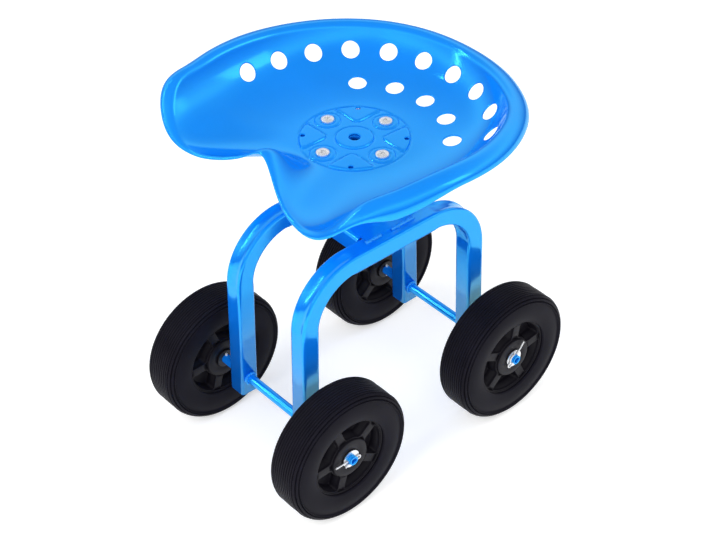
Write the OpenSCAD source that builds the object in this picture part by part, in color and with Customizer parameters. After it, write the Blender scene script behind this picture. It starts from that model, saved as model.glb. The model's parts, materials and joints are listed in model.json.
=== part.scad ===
// Rolling garden seat: a pressed steel tractor seat that swivels on a post,
// carried by two bent square-tube hoops on four plastic wheels.
// Millimetres. X runs along the axles, the front of the seat faces -Y, Z is up from the floor.

/* [Frame] */
// Side of the square tube
tube = 25; // [20:1:32]
// Wall of the square tube
tube_wall = 1.5; // [1:0.1:2.5]
// Outer corner radius of the square tube
tube_corner = 3.5; // [2.6:0.1:5]
// Outer radius of the bends of a hoop
bend_r = 82; // [60:1:95]
// Height of the top of the hoops above the floor
hoop_h = 312; // [280:1:380]
// Clear gap between the two hoops
hoop_gap = 97; // [80:1:110]
// Distance between the front and the rear axle
wheelbase = 272; // [250:1:340]
// Outward lean of each leg, in degrees
leg_splay = 1.3; // [0:0.1:3]
// Length of leg below the axle
leg_tail = 23; // [16:1:30]

/* [Cross plate] */
// Front to back width of the plate that joins the hoops
plate_d = 80; // [64:1:100]
// Thickness of the plate
plate_t = 3; // [2:0.5:5]
// Height of the plate's turned-down flanges
flange_h = 25; // [15:1:40]
// How far the plate laps onto each hoop
plate_lap = 11.5; // [7:0.5:16]
// Size of the weld fillets
weld = 3; // [2:0.5:4]

/* [Swivel] */
// Outer diameter of the tube welded on the plate
pivot_d = 42; // [38:1:50]
// Wall of that tube
pivot_wall = 2.6; // [2:0.1:4]
// Height of that tube above the plate
pivot_h = 60; // [40:1:70]
// Diameter of the spindle that turns in it
spindle_d = 28; // [20:1:30]
// Wall of the spindle
spindle_wall = 3; // [2:0.5:5]
// Running clearance of the spindle and the wheels, on the radius
run_fit = 0.1; // [0.05:0.05:0.25]
// Thickness of the bush flanges
bush_t = 3; // [2:0.5:5]
// Length of a bush inside its tube
bush_l = 15; // [10:1:25]
// Height of the seat's underside above the plate
post_h = 97; // [90:1:130]
// Thickness of the round seat plate
mount_t = 4; // [3:0.5:6]
// Diameter of the round seat plate
mount_d = 115; // [114:0.5:116]

/* [Seat] */
// Thickness of the seat's steel sheet
sheet = 2; // [1.5:0.1:3]
// Distance of the rim's crest from the seat's centre, at the side
seat_r = 180; // [165:1:195]
// Height of the rim's crest over the seat's floor, at the side
seat_side_h = 62; // [50:1:75]
// Width of the rolled rim outside its crest
rim_w = 19; // [15:1:22]
// Drop of the rolled rim below its crest
rim_drop = 15; // [11:1:19]
// Crest radius of the rolled rim
rim_r = 8; // [7:0.5:10]
// Radius of the stamped disc in the middle
disc_r = 66; // [64.5:0.5:70]
// Height of the stamped pads over the disc
pad_rise = 1.2; // [0.6:0.2:2]
// Diameter of the comfort holes
hole_d = 22; // [16:1:24]
// Holes in the outer row
outer_holes = 13; // [9:2:13]
// Holes in the inner row
inner_holes = 5; // [3:2:7]
// Diameter of the centre hole
centre_hole_d = 14; // [10:1:18]
// Distance of the four seat screws from the centre
screw_pcr = 48.5; // [44:0.5:51]
// Thread diameter of the seat screws
screw_d = 8; // [6:1:8]

/* [Wheels] */
// Diameter of the wheels
wheel_d = 178; // [160:1:200]
// Width of the tyres
tyre_w = 50; // [40:1:56]
// Distance of a wheel's middle from the centre line
wheel_x = 121.5; // [118:0.5:128]
// Radius of the seat of the tyre on the hub
rim_seat_r = 54; // [48:1:60]
// Diameter of the hub boss
boss_d = 52; // [44:1:60]
// Width of the hub boss
boss_w = 43; // [36:1:44]
// Number of spokes
spokes = 5; // [4:1:7]
// Width of a spoke
spoke_w = 9; // [6:1:14]
// Grooves round the tread
tread_grooves = 11; // [5:2:13]
// Outer diameter of the axle tubes
axle_d = 12; // [10:1:14]
// Wall of the axle tubes
axle_wall = 2; // [1.5:0.5:2.5]
// Overall length of an axle tube
axle_l = 300; // [298:1:312]
// Wire diameter of the hairpin clips
clip_wire = 2; // [1.6:0.2:3]

/* [Hidden] */
$fn = 64;

// One overrun for every cut
over = 1;

// Colours
paint = "dodgerblue";
zinc = "gainsboro";
rubber = "#26262b";
plastic = "#2f2f35";
nylon = "#3a3a3a";

// Frame
axle_z = wheel_d / 2;
axle_y = wheelbase / 2;
axle_r = axle_d / 2;
leg_x = (hoop_gap + tube) / 2;
bend_c = bend_r - tube / 2;
bend_z = hoop_h - bend_r;
bend_end_z = bend_z + bend_c * sin(leg_splay);
bend_y = axle_y - (bend_end_z - axle_z) * tan(leg_splay) - bend_c * cos(leg_splay);
leg_l = (bend_end_z - axle_z + leg_tail) / cos(leg_splay);
slip_fit = 0.1;
corner_steps = 3;
bend_steps = 10;

// Cross plate
plate_z = hoop_h;
plate_top = plate_z + plate_t;
plate_l = hoop_gap + 2 * plate_lap;
flange_bend = 2 * plate_t;
// Front and rear weld beads on a hoop, as shares of the plate's half width
bead_start_shares = [-0.9, 0.1];
bead_end_shares = [-0.33, 0.95];

// Swivel
pivot_r = pivot_d / 2;
pivot_bore = pivot_r - pivot_wall;
spindle_r = spindle_d / 2;
pivot_top = plate_top + pivot_h;
collar_z = pivot_top + bush_t;
collar_h = 6;
ring_t = 1.5;
ring_gap = 0.3;
ring_groove = 1;
ring_wide = 4;
ring_z = plate_z - bush_t - ring_gap - ring_t;
spindle_tail = 5;
spindle_z = ring_z - spindle_tail;
seat_under = plate_top + post_h;

// Seat: the rim, every 10 degrees from the back round to the notch at the front
rim_step = 10;
reach_shares = [
    0.99, 0.995, 1, 1.005, 1.015, 1.005, 0.995, 0.99, 0.99, 0.995,
    1.01, 1.05, 1.1, 1.195, 1.185, 1.05, 0.905, 0.775, 0.72
];
rise_shares = [
    0.74, 0.74, 0.755, 0.765, 0.77, 0.805, 0.845, 0.885, 0.93, 0.98,
    1.02, 1.03, 0.98, 1.05, 0.27, 0.11, 0.255, 0.45, 0.83
];
// The rolled rim narrows to a lip between these bearings from the back
taper_from = 118;
taper_to = 152;
lip_share = 0.26;
crest_lip_share = 0.45;
// The wall of the bowl: a shallow part and a steep part
shallow_share = 0.4;
steep_power = 7;
least_lean = 8;
ring_power = 0.8;
// The ridge between the thigh troughs blends in between these bearings
ridge_from = 140;
ridge_to = 172;
disc_step = 0.4;
seat_z = seat_under + sheet - disc_step;
plateau = disc_step + pad_rise;
bowl_rings = 9;
crest_rings = 3;
skirt_rings = 5;
bearings = 96;
outer_row_share = 0.876;
inner_row_share = 0.625;
outer_pitch = 16.9;
inner_pitch = 23.6;
pad_gap = 22;
pad_corner = 7;
screw_pad_r = 15;
centre_pad_r = 22;
weep_r = 61;
weep_d = 6;
disc_top = seat_z + disc_step;

// Seat fasteners, in screw diameters
head_r = screw_d;
head_h = 0.5 * screw_d;
head_crown = 0.2 * screw_d;
nut_h = screw_d;
nut_af = 1.63 * screw_d;
screw_l = 3 * screw_d;
hole_play = 0.5;
flat_washer_r = screw_d;
flat_washer_t = 1.6;

// Wheels
boss_r = boss_d / 2;
hub_rim_t = 4;
hub_rim_r = rim_seat_r - hub_rim_t;
hub_rim_w = 0.8 * tyre_w;
web_t = 6;
star_h = 0.86 * boss_w;
boss_fillet = 2.5;
rim_fillet = 4;
arc_steps = 4;
side_r = 50;
shoulder_r = 7;
tyre_lip = 2;
lip_round = 2.5;
groove_w = 1.8;
groove_d = 1.4;
side_top_r = axle_z - shoulder_r;
rib_groove_r = 0.9;
rib_w = 3.8;
tread_share = 0.74;
washer_r = 12;
washer_t = 1.5;
side_gap = 0.3;
outer_washer_x = wheel_x + boss_w / 2 + side_gap;
inner_washer_x = wheel_x - boss_w / 2 - side_gap - washer_t;
clip_r = clip_wire / 2;
clip_gap = 0.15;
eye_r = 1.25 * clip_wire;
hump_r = axle_r + clip_gap + clip_r;
clip_tip_share = 4.2;
clip_back_share = 1.75;
clip_flick_shares = [1.7, 1.35];
clip_steps = 8;
wire_sides = 8;
clip_x = outer_washer_x + washer_t + clip_gap + clip_r;
stop_d = 3;
stop_x = inner_washer_x - clip_gap - stop_d / 2;
stop_l = 1.5 * axle_d;
// Turn of each wheel about its axle, and of its clip
front_turn = 38;
rear_turn = 8;
front_clip_turn = 180;
rear_clip_turn = 52;

// Round-cornered square section of the tube or of its bore, as [outward, sideways]
function tube_ring(side, corner) = [
    for (quarter = [0:3], i = [0:corner_steps])
        let (
            turn = 90 * (quarter + i / corner_steps),
            flat = side / 2 - corner
        )
        [
            flat * (quarter == 0 || quarter == 3 ? 1 : -1) + corner * cos(turn),
            flat * (quarter < 2 ? 1 : -1) + corner * sin(turn)
        ]
];

// Middle line of a hoop from foot to foot, as [y, z, outward y, outward z]
function hoop_line() =
    let (
        half = concat(
            [[
                bend_y + bend_c * cos(leg_splay) + leg_l * sin(leg_splay),
                bend_z + bend_c * sin(leg_splay) - leg_l * cos(leg_splay),
                cos(leg_splay),
                sin(leg_splay)
            ]],
            [
                for (i = [0:bend_steps])
                    let (turn = leg_splay + (90 - leg_splay) * i / bend_steps)
                    [bend_y + bend_c * cos(turn), bend_z + bend_c * sin(turn), cos(turn), sin(turn)]
            ]
        )
    )
    concat(
        half,
        [for (i = [len(half) - 1:-1:0]) [-half[i][0], half[i][1], -half[i][2], half[i][3]]]
    );

// Square tube swept along the hoop's line: outer skin, bore and the two open feet
module hoop_tube() {
    line = hoop_line();
    outer = tube_ring(tube, tube_corner);
    bore = tube_ring(tube - 2 * tube_wall, tube_corner - tube_wall);
    ring = concat(outer, bore);
    around = len(outer);
    last = len(line) - 1;
    points = [
        for (at = line, p = ring)
            [p[1], at[0] + p[0] * at[2], at[1] + p[0] * at[3]]
    ];
    sides = [
        for (k = [0:last - 1], skin = [0, 1], i = [0:around - 1])
            let (
                j = (i + 1) % around,
                a = 2 * around * k + skin * around + i,
                b = 2 * around * k + skin * around + j,
                c = b + 2 * around,
                d = a + 2 * around
            )
            skin == 0 ? [a, b, c, d] : [a, d, c, b]
    ];
    feet = [
        for (k = [0, last], i = [0:around - 1])
            let (
                j = (i + 1) % around,
                a = 2 * around * k + i,
                b = 2 * around * k + j
            )
            k == 0 ? [a, a + around, b + around, b] : [a, b, b + around, a + around]
    ];
    polyhedron(points, concat(sides, feet));
}

module hoop(side) {
    color(paint)
        translate([side * leg_x, 0, 0])
            difference() {
                hoop_tube();
                for (sy = [-1, 1])
                    translate([0, sy * axle_y, axle_z])
                        rotate([0, 90, 0])
                            cylinder(r = axle_r + slip_fit, h = tube + 2 * over, center = true);
            }
}

module hoop_right() {
    hoop(1);
}

module hoop_left() {
    hoop(-1);
}

// Half of the plate's bent section, as seen along X
module plate_bend() {
    difference() {
        union() {
            translate([0, -flange_bend])
                square([plate_d / 2 - flange_bend, flange_bend]);
            translate([plate_d / 2 - flange_bend, -flange_h])
                square([flange_bend, flange_h - flange_bend]);
            translate([plate_d / 2 - flange_bend, -flange_bend])
                intersection() {
                    circle(flange_bend);
                    square(flange_bend);
                }
        }
        translate([-over, -flange_h - over])
            square([plate_d / 2 - flange_bend + over, flange_h - plate_t + over]);
        translate([plate_d / 2 - flange_bend - over, -flange_h - over])
            square([flange_bend - plate_t + over, flange_h - flange_bend + over]);
        translate([plate_d / 2 - flange_bend, -flange_bend])
            circle(flange_bend - plate_t);
    }
}

module cross_plate() {
    color(paint)
        difference() {
            union() {
                translate([-hoop_gap / 2, 0, plate_top])
                    rotate([90, 0, 90])
                        linear_extrude(hoop_gap) {
                            plate_bend();
                            mirror([1, 0])
                                plate_bend();
                        }
                translate([-plate_l / 2, flange_bend - plate_d / 2, plate_z])
                    cube([plate_l, plate_d - 2 * flange_bend, plate_t]);
            }
            translate([0, 0, plate_z - over])
                cylinder(r = pivot_bore, h = plate_t + 2 * over);
        }
}

// Quarter-round fillet along X, in the corner at the origin
module fillet_bead(length) {
    linear_extrude(length)
        intersection() {
            circle(weld);
            square(weld);
        }
}

// Two beads along each end of the plate, the same on both sides
module plate_welds() {
    color(paint)
        for (side = [0, 1], bead = [0, 1])
            mirror([side, 0, 0])
                translate([plate_l / 2, bead_end_shares[bead] * plate_d / 2, plate_z])
                    rotate([90, 0, 0])
                        fillet_bead((bead_end_shares[bead] - bead_start_shares[bead]) * plate_d / 2);
}

module pivot_tube() {
    color(paint)
        translate([0, 0, plate_top])
            rotate_extrude() {
                translate([pivot_bore, 0])
                    square([pivot_wall, pivot_h]);
                translate([pivot_r, 0])
                    intersection() {
                        circle(weld);
                        square(weld);
                    }
            }
}

// Flanged bush with its flange down
module bush() {
    rotate_extrude() {
        translate([spindle_r + run_fit, 0])
            square([pivot_r - spindle_r - run_fit, bush_t]);
        translate([spindle_r + run_fit, 0])
            square([pivot_bore - slip_fit - spindle_r - run_fit, bush_t + bush_l]);
    }
}

module pivot_bushes() {
    color(nylon) {
        translate([0, 0, plate_z - bush_t])
            bush();
        translate([0, 0, pivot_top + bush_t])
            mirror([0, 0, 1])
                bush();
    }
}

// Axle tube with its cross holes
module axle(sy) {
    color(paint)
        translate([0, sy * axle_y, axle_z])
            difference() {
                rotate([0, 90, 0])
                    rotate_extrude()
                        translate([axle_r - axle_wall, -axle_l / 2])
                            square([axle_wall, axle_l]);
                for (sx = [-1, 1]) {
                    translate([sx * clip_x, 0, 0])
                        rotate([sy < 0 ? front_clip_turn : rear_clip_turn, 0, 0])
                            rotate([90, 0, 0])
                                cylinder(r = clip_r + slip_fit, h = axle_d + 2 * over, center = true);
                    translate([sx * stop_x, 0, 0])
                        cylinder(d = stop_d, h = axle_d + 2 * over, center = true);
                }
            }
}

module axle_front() {
    axle(-1);
}

module axle_rear() {
    axle(1);
}

// Fillet round each axle where it leaves the inner face of a leg
module axle_welds() {
    color(paint)
        for (sx = [-1, 1], sy = [-1, 1])
            translate([sx * hoop_gap / 2, sy * axle_y, axle_z])
                rotate([0, -sx * 90, 0])
                    rotate_extrude()
                        translate([axle_r, 0])
                            intersection() {
                                circle(weld);
                                square(weld);
                            }
}

module axle_washers() {
    color(zinc)
        for (sx = [-1, 1], sy = [-1, 1], at = [inner_washer_x, outer_washer_x])
            translate([sx * (at + washer_t / 2), sy * axle_y, axle_z])
                rotate([0, 90, 0])
                    rotate_extrude()
                        translate([axle_r + slip_fit, -washer_t / 2])
                            square([washer_r - axle_r - slip_fit, washer_t]);
}

module stop_pins() {
    color(zinc)
        for (sx = [-1, 1], sy = [-1, 1])
            translate([sx * stop_x, sy * axle_y, axle_z])
                cylinder(d = stop_d, h = stop_l, center = true);
}

// Middle line of a clip's wire in the XY plane: straight leg through the axle, eye, hump, tip
function clip_line() =
    concat(
        [[clip_tip_share * axle_r, 0]],
        [
            for (i = [0:clip_steps])
                let (turn = 270 - 210 * i / clip_steps)
                [eye_r * cos(turn) - clip_back_share * axle_r, eye_r + eye_r * sin(turn)]
        ],
        [
            for (i = [0:clip_steps])
                let (turn = 150 - 110 * i / clip_steps)
                hump_r * [cos(turn), sin(turn)]
        ],
        [axle_r * clip_flick_shares]
    );

// Round wire swept along a flat line, with its corners mitred
module wire(line, radius) {
    last = len(line) - 1;
    ways = [for (i = [0:last - 1]) (line[i + 1] - line[i]) / norm(line[i + 1] - line[i])];
    points = [
        for (i = [0:last])
            let (
                sum = ways[max(0, i - 1)] + ways[min(last - 1, i)],
                side = [-sum[1], sum[0]] * 2 / (sum * sum)
            )
            for (k = [0:wire_sides - 1])
                let (turn = 360 * k / wire_sides)
                [
                    line[i][0] + radius * cos(turn) * side[0],
                    line[i][1] + radius * cos(turn) * side[1],
                    radius * sin(turn)
                ]
    ];
    skin = [
        for (i = [0:last - 1], k = [0:wire_sides - 1])
            let (
                j = (k + 1) % wire_sides,
                a = i * wire_sides + k,
                b = i * wire_sides + j
            )
            [a, a + wire_sides, b + wire_sides, b]
    ];
    ends = [
        [for (k = [0:wire_sides - 1]) k],
        [for (k = [wire_sides - 1:-1:0]) last * wire_sides + k]
    ];
    polyhedron(points, concat(skin, ends));
}

module hairpin_clips() {
    color(zinc)
        for (sx = [-1, 1], sy = [-1, 1])
            translate([sx * clip_x, sy * axle_y, axle_z])
                rotate([sy < 0 ? front_clip_turn : rear_clip_turn, 0, 0])
                    rotate([90, 0, 90])
                        wire(clip_line(), clip_r);
}

module spindle() {
    color(paint)
        difference() {
            translate([0, 0, spindle_z])
                rotate_extrude() {
                    translate([spindle_r - spindle_wall, 0])
                        square([spindle_wall, seat_under - mount_t - spindle_z]);
                    translate([spindle_r, collar_z - spindle_z])
                        square([pivot_r - spindle_r, collar_h]);
                }
            translate([0, 0, ring_z])
                rotate_extrude()
                    translate([spindle_r - ring_groove, 0])
                        square([ring_groove + over, ring_t]);
        }
}

// Open ring in the spindle's groove
module retaining_ring() {
    color(zinc)
        translate([0, 0, ring_z])
            rotate([0, 0, 105])
                rotate_extrude(angle = 330)
                    translate([spindle_r - ring_groove, 0])
                        square([ring_wide, ring_t]);
}

module seat_plate() {
    color(paint)
        translate([0, 0, seat_under - mount_t])
            difference() {
                cylinder(d = mount_d, h = mount_t);
                translate([0, 0, -over])
                    cylinder(d = centre_hole_d, h = mount_t + 2 * over);
                at_screws()
                    translate([0, 0, -over])
                        cylinder(d = screw_d + hole_play, h = mount_t + 2 * over);
            }
}

module at_screws() {
    for (turn = [0:90:270])
        rotate([0, 0, turn])
            translate([screw_pcr, 0, 0])
                children();
}

// Smooth curve through the run of shares, mirrored at both ends
function rim_share(shares, i) =
    let (last = len(shares) - 1, k = abs(i))
    shares[k > last ? 2 * last - k : k];

function rim_curve(shares, bearing) =
    let (u = bearing / rim_step, i = min(floor(u), len(shares) - 2), t = u - i)
    (
        rim_share(shares, i - 1) * pow(1 - t, 3)
        + rim_share(shares, i) * (3 * pow(t, 3) - 6 * pow(t, 2) + 4)
        + rim_share(shares, i + 1) * (-3 * pow(t, 3) + 3 * pow(t, 2) + 3 * t + 1)
        + rim_share(shares, i + 2) * pow(t, 3)
    ) / 6;

function ease(t) = let (c = max(0, min(1, t))) c * c * (3 - 2 * c);

function reach(bearing) = seat_r * rim_curve(reach_shares, bearing);
function rise(bearing) = seat_side_h * rim_curve(rise_shares, bearing);
function taper(bearing) =
    1 - (1 - lip_share) * ease((bearing - taper_from) / (taper_to - taper_from));
function ridge(bearing) = ease((bearing - ridge_from) / (ridge_to - ridge_from));

// Height of the bowl's wall at share t of the way from the disc to the crest
function wall_share(t, ridged) =
    (1 - ridged) * (shallow_share * pow(t, 2) + (1 - shallow_share) * pow(t, steep_power))
    + ridged * ease(t);
function wall_slope(ridged) =
    (1 - ridged) * (2 * shallow_share + (1 - shallow_share) * steep_power);

// Radial section of the seat's top face, as [radius, height over the floor]
function section(bearing) =
    let (
        out = reach(bearing),
        up = rise(bearing),
        narrow = taper(bearing),
        ridged = ridge(bearing),
        crest = rim_r * max(crest_lip_share, narrow),
        lean = max(least_lean, atan(wall_slope(ridged) * up / (out - disc_r))),
        wall_out = out - crest * sin(lean),
        wall_up = up - crest * (1 - cos(lean))
    )
    concat(
        [
            for (i = [0:bowl_rings])
                let (t = pow(i / bowl_rings, ring_power))
                [disc_r + (wall_out - disc_r) * t, wall_up * wall_share(t, ridged)]
        ],
        [
            for (i = [1:crest_rings])
                let (a = lean * (1 - i / crest_rings))
                [out - crest * sin(a), up - crest * (1 - cos(a))]
        ],
        [
            for (i = [1:skirt_rings])
                let (a = 90 * i / skirt_rings)
                [out + rim_w * narrow * sin(a), up - rim_drop * narrow * (1 - cos(a))]
        ]
    );

// The section's lower face, one sheet thickness inside the upper one
function inner_section(line) =
    [
        for (i = [0:len(line) - 1])
            let (
                a = line[max(0, i - 1)],
                b = line[min(len(line) - 1, i + 1)],
                along = (b - a) / norm(b - a)
            )
            line[i] + sheet * [along[1], -along[0]]
    ];

// Bowl of one sheet thickness, with the disc as a plateau at the height of its pads
module bowl() {
    core_r = centre_hole_d / 4;
    loops = 2 * (bowl_rings + crest_rings + skirt_rings + 3);
    lines = [
        for (i = [0:bearings - 1])
            let (
                turn = 360 * i / bearings,
                line = section(turn > 180 ? 360 - turn : turn),
                under = inner_section(line)
            )
            concat(
                [[core_r, plateau], [disc_r - disc_step, plateau]],
                line,
                [for (k = [len(line) - 1:-1:0]) under[k]],
                [[disc_r - sheet, disc_step - sheet], [core_r, disc_step - sheet]]
            )
    ];
    points = [
        for (i = [0:bearings - 1], k = [0:loops - 1])
            let (turn = 360 * i / bearings)
            [lines[i][k][0] * sin(turn), lines[i][k][0] * cos(turn), lines[i][k][1]]
    ];
    faces = [
        for (i = [0:bearings - 1], k = [0:loops - 1], half = [0, 1])
            let (
                j = (i + 1) % bearings,
                m = (k + 1) % loops,
                a = i * loops + k,
                b = i * loops + m,
                c = j * loops + m,
                d = j * loops + k
            )
            half == 0 ? [a, b, c] : [a, c, d]
    ];
    polyhedron(points, faces);
}

// Cutter square to the bowl's wall at a share of the reach
module wall_hole(bearing, row_share) {
    side = abs(bearing);
    line = section(side);
    out = reach(side) * row_share;
    i = max([for (k = [0:len(line) - 2]) if (line[k][0] <= out) k]);
    t = (out - line[i][0]) / (line[i + 1][0] - line[i][0]);
    up = line[i][1] + t * (line[i + 1][1] - line[i][1]);
    lean = atan2(line[i + 1][1] - line[i][1], line[i + 1][0] - line[i][0]);
    rotate([0, 0, -bearing])
        translate([0, out, up])
            rotate([lean, 0, 0])
                cylinder(d = hole_d, h = 6 * sheet, center = true);
}

// Corner panel of the disc, with a rounded inner corner
module corner_panel(inset) {
    low = pad_gap + inset;
    intersection() {
        circle(disc_r - sheet / 2 - inset);
        union() {
            translate([low + pad_corner, low])
                square(disc_r);
            translate([low, low + pad_corner])
                square(disc_r);
            translate([low + pad_corner, low + pad_corner])
                circle(pad_corner);
        }
    }
}

module pads(inset) {
    for (turn = [0:90:270])
        rotate([0, 0, turn])
            corner_panel(inset);
    circle(centre_pad_r - inset);
}

// What is stamped away from the plateau: the disc between its pads, from above and below
module disc_cuts() {
    translate([0, 0, disc_top])
        linear_extrude(pad_rise + over)
            difference() {
                circle(disc_r + over);
                pads(0);
                at_screws()
                    circle(screw_pad_r);
            }
    at_screws()
        translate([0, 0, disc_top + pad_rise / 2])
            cylinder(r = screw_pad_r + over, h = pad_rise + over);
    translate([0, 0, seat_under - over])
        linear_extrude(pad_rise + over)
            pads(sheet);
}

module seat_pan() {
    color(paint)
        difference() {
            translate([0, 0, seat_z])
                bowl();
            disc_cuts();
            translate([0, 0, seat_under - over])
                cylinder(d = centre_hole_d, h = sheet + pad_rise + 2 * over);
            at_screws()
                translate([0, 0, seat_under - over])
                    cylinder(d = screw_d + hole_play, h = sheet + pad_rise + 2 * over);
            for (turn = [45:90:315])
                rotate([0, 0, turn])
                    translate([weep_r, 0, seat_under - over])
                        cylinder(d = weep_d, h = sheet + pad_rise + 2 * over);
            for (i = [0:outer_holes - 1])
                translate([0, 0, seat_z])
                    wall_hole((i - (outer_holes - 1) / 2) * outer_pitch, outer_row_share);
            for (i = [0:inner_holes - 1])
                translate([0, 0, seat_z])
                    wall_hole((i - (inner_holes - 1) / 2) * inner_pitch, inner_row_share);
        }
}

// Pan-head screw with a cross recess, its head's underside at z = 0
module pan_screw() {
    slot = 0.2 * screw_d;
    difference() {
        union() {
            cylinder(r = head_r, h = head_h - head_crown);
            translate([0, 0, head_h - head_crown])
                cylinder(r1 = head_r, r2 = head_r - 2 * head_crown, h = head_crown);
            translate([0, 0, -screw_l])
                cylinder(d = screw_d, h = screw_l);
        }
        for (turn = [0, 90])
            rotate([0, 0, turn])
                translate([-screw_d / 2, -slot / 2, head_h / 2])
                    cube([screw_d, slot, head_h]);
    }
}

module seat_screws() {
    color(zinc)
        at_screws()
            translate([0, 0, disc_top + pad_rise / 2])
                pan_screw();
}

module seat_washers() {
    color(zinc)
        at_screws()
            translate([0, 0, seat_under - mount_t - flat_washer_t])
                difference() {
                    cylinder(r = flat_washer_r, h = flat_washer_t);
                    translate([0, 0, -over])
                        cylinder(d = screw_d + hole_play, h = flat_washer_t + 2 * over);
                }
}

module seat_nuts() {
    color(zinc)
        at_screws()
            translate([0, 0, seat_under - mount_t - flat_washer_t - nut_h])
                difference() {
                    union() {
                        translate([0, 0, nut_h / 4])
                            cylinder(d = nut_af / cos(30), h = 3 * nut_h / 4, $fn = 6);
                        cylinder(d = 0.9 * nut_af, h = nut_h / 4);
                    }
                    translate([0, 0, -over])
                        cylinder(d = screw_d, h = nut_h + 2 * over);
                }
}

// Groove in the tyre's skin, open outward along X
module tread_groove() {
    polygon([
        [-groove_d, 0],
        [groove_d, -groove_w],
        [groove_d, groove_w]
    ]);
}

// Section of the tyre: radius along X, axle direction along Y
module tyre_profile() {
    half = tyre_w / 2;
    side_in = rim_seat_r - tyre_lip;
    side_mid = (side_top_r + side_in) / 2;
    side_drop = side_r - sqrt(pow(side_r, 2) - pow((side_top_r - side_in) / 2, 2));
    rib_out = sqrt(pow(shoulder_r, 2) - pow(rib_w, 2));
    difference() {
        intersection() {
            union() {
                translate([rim_seat_r, -half])
                    square([side_top_r - rim_seat_r, tyre_w]);
                translate([rim_seat_r, shoulder_r - half])
                    square([axle_z - rim_seat_r, tyre_w - 2 * shoulder_r]);
                for (sy = [-1, 1])
                    translate([side_top_r, sy * (half - shoulder_r)])
                        circle(shoulder_r);
                for (sy = [-1, 1])
                    translate([side_in, sy > 0 ? hub_rim_w / 2 : -half])
                        square([2 * tyre_lip, half - hub_rim_w / 2]);
            }
            union() {
                translate([side_mid, half - side_r])
                    circle(side_r, $fn = 180);
                translate([side_top_r, -half])
                    square([shoulder_r, tyre_w]);
            }
            union() {
                translate([side_mid, side_r - half])
                    circle(side_r, $fn = 180);
                translate([side_top_r, -half])
                    square([shoulder_r, tyre_w]);
            }
        }
        for (sy = [-1, 1]) {
            // Rounded lip round the hub's opening
            translate([side_in, sy * (half - side_drop)])
                difference() {
                    square(2 * lip_round, center = true);
                    translate([lip_round, -sy * lip_round])
                        circle(lip_round);
                }
            // The two grooves beside the shoulder rib
            translate([side_top_r, sy * half])
                circle(rib_groove_r);
            translate([side_top_r + rib_w, sy * (half - shoulder_r + rib_out)])
                circle(rib_groove_r);
        }
        for (i = [0:tread_grooves - 1])
            translate([axle_z, tread_share * tyre_w * (i / (tread_grooves - 1) - 0.5)])
                tread_groove();
    }
}

module tyre(sx, sy) {
    color(rubber)
        translate([sx * wheel_x, sy * axle_y, axle_z])
            rotate([0, 90, 0])
                rotate_extrude($fn = 120)
                    tyre_profile();
}

module tyre_fr() {
    tyre(1, -1);
}

module tyre_fl() {
    tyre(-1, -1);
}

module tyre_rr() {
    tyre(1, 1);
}

module tyre_rl() {
    tyre(-1, 1);
}

// Points of an arc round a centre
function arc(centre, radius, from, to) = [
    for (i = [0:arc_steps])
        let (turn = from + (to - from) * i / arc_steps)
        centre + radius * [cos(turn), sin(turn)]
];

// Pocket between two spokes, its middle on the X axis: it runs on under the boss and the ring,
// and its fillets meet them at their walls
module pocket() {
    half_step = 180 / spokes;
    side = spoke_w / 2;
    outer_r = hub_rim_r - rim_fillet;
    inner_r = boss_r + boss_fillet;
    outer_turn = half_step - asin((side + rim_fillet) / outer_r);
    inner_turn = half_step - asin((side + boss_fillet) / inner_r);
    outer_way = [cos(outer_turn), sin(outer_turn)];
    inner_way = [cos(inner_turn), sin(inner_turn)];
    half = concat(
        arc([0, 0], hub_rim_r + hub_rim_t / 2, 0, outer_turn),
        arc(outer_r * outer_way, rim_fillet, outer_turn, half_step + 90),
        arc(inner_r * inner_way, boss_fillet, half_step + 90, inner_turn + 180),
        [(boss_r - boss_fillet) * inner_way]
    );
    polygon(concat(half, [for (i = [len(half) - 1:-1:1]) [half[i][0], -half[i][1]]]));
}

// Spokes and web: a disc with a pocket between each two spokes, on both faces
module star() {
    difference() {
        cylinder(r = rim_seat_r - hub_rim_t / 4, h = star_h, center = true);
        for (i = [0:spokes - 1], face = [0, 1])
            rotate([0, 0, 360 * (i + 0.5) / spokes])
                mirror([0, 0, face])
                    translate([0, 0, web_t / 2])
                        linear_extrude(star_h)
                            pocket();
    }
}

module hub(sx, sy) {
    color(plastic)
        translate([sx * wheel_x, sy * axle_y, axle_z])
            rotate([sy < 0 ? front_turn : rear_turn, 0, 0])
                rotate([90, 0, 90])
                    difference() {
                        union() {
                            star();
                            cylinder(r = boss_r, h = boss_w, center = true);
                            rotate_extrude($fn = 120)
                                translate([hub_rim_r, -hub_rim_w / 2])
                                    square([hub_rim_t, hub_rim_w]);
                        }
                        cylinder(r = axle_r + run_fit, h = boss_w + 2 * over, center = true);
                    }
}

module hub_fr() {
    hub(1, -1);
}

module hub_fl() {
    hub(-1, -1);
}

module hub_rr() {
    hub(1, 1);
}

module hub_rl() {
    hub(-1, 1);
}

hoop_right();
hoop_left();
cross_plate();
plate_welds();
pivot_tube();
pivot_bushes();
axle_front();
axle_rear();
axle_welds();
axle_washers();
stop_pins();
hairpin_clips();
spindle();
retaining_ring();
seat_plate();
seat_pan();
seat_screws();
seat_washers();
seat_nuts();
hub_fr();
hub_fl();
hub_rr();
hub_rl();
tyre_fr();
tyre_fl();
tyre_rr();
tyre_rl();
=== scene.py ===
"""Rolling garden seat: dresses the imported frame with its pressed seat, bent tubes, wheels and finishes."""

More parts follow.
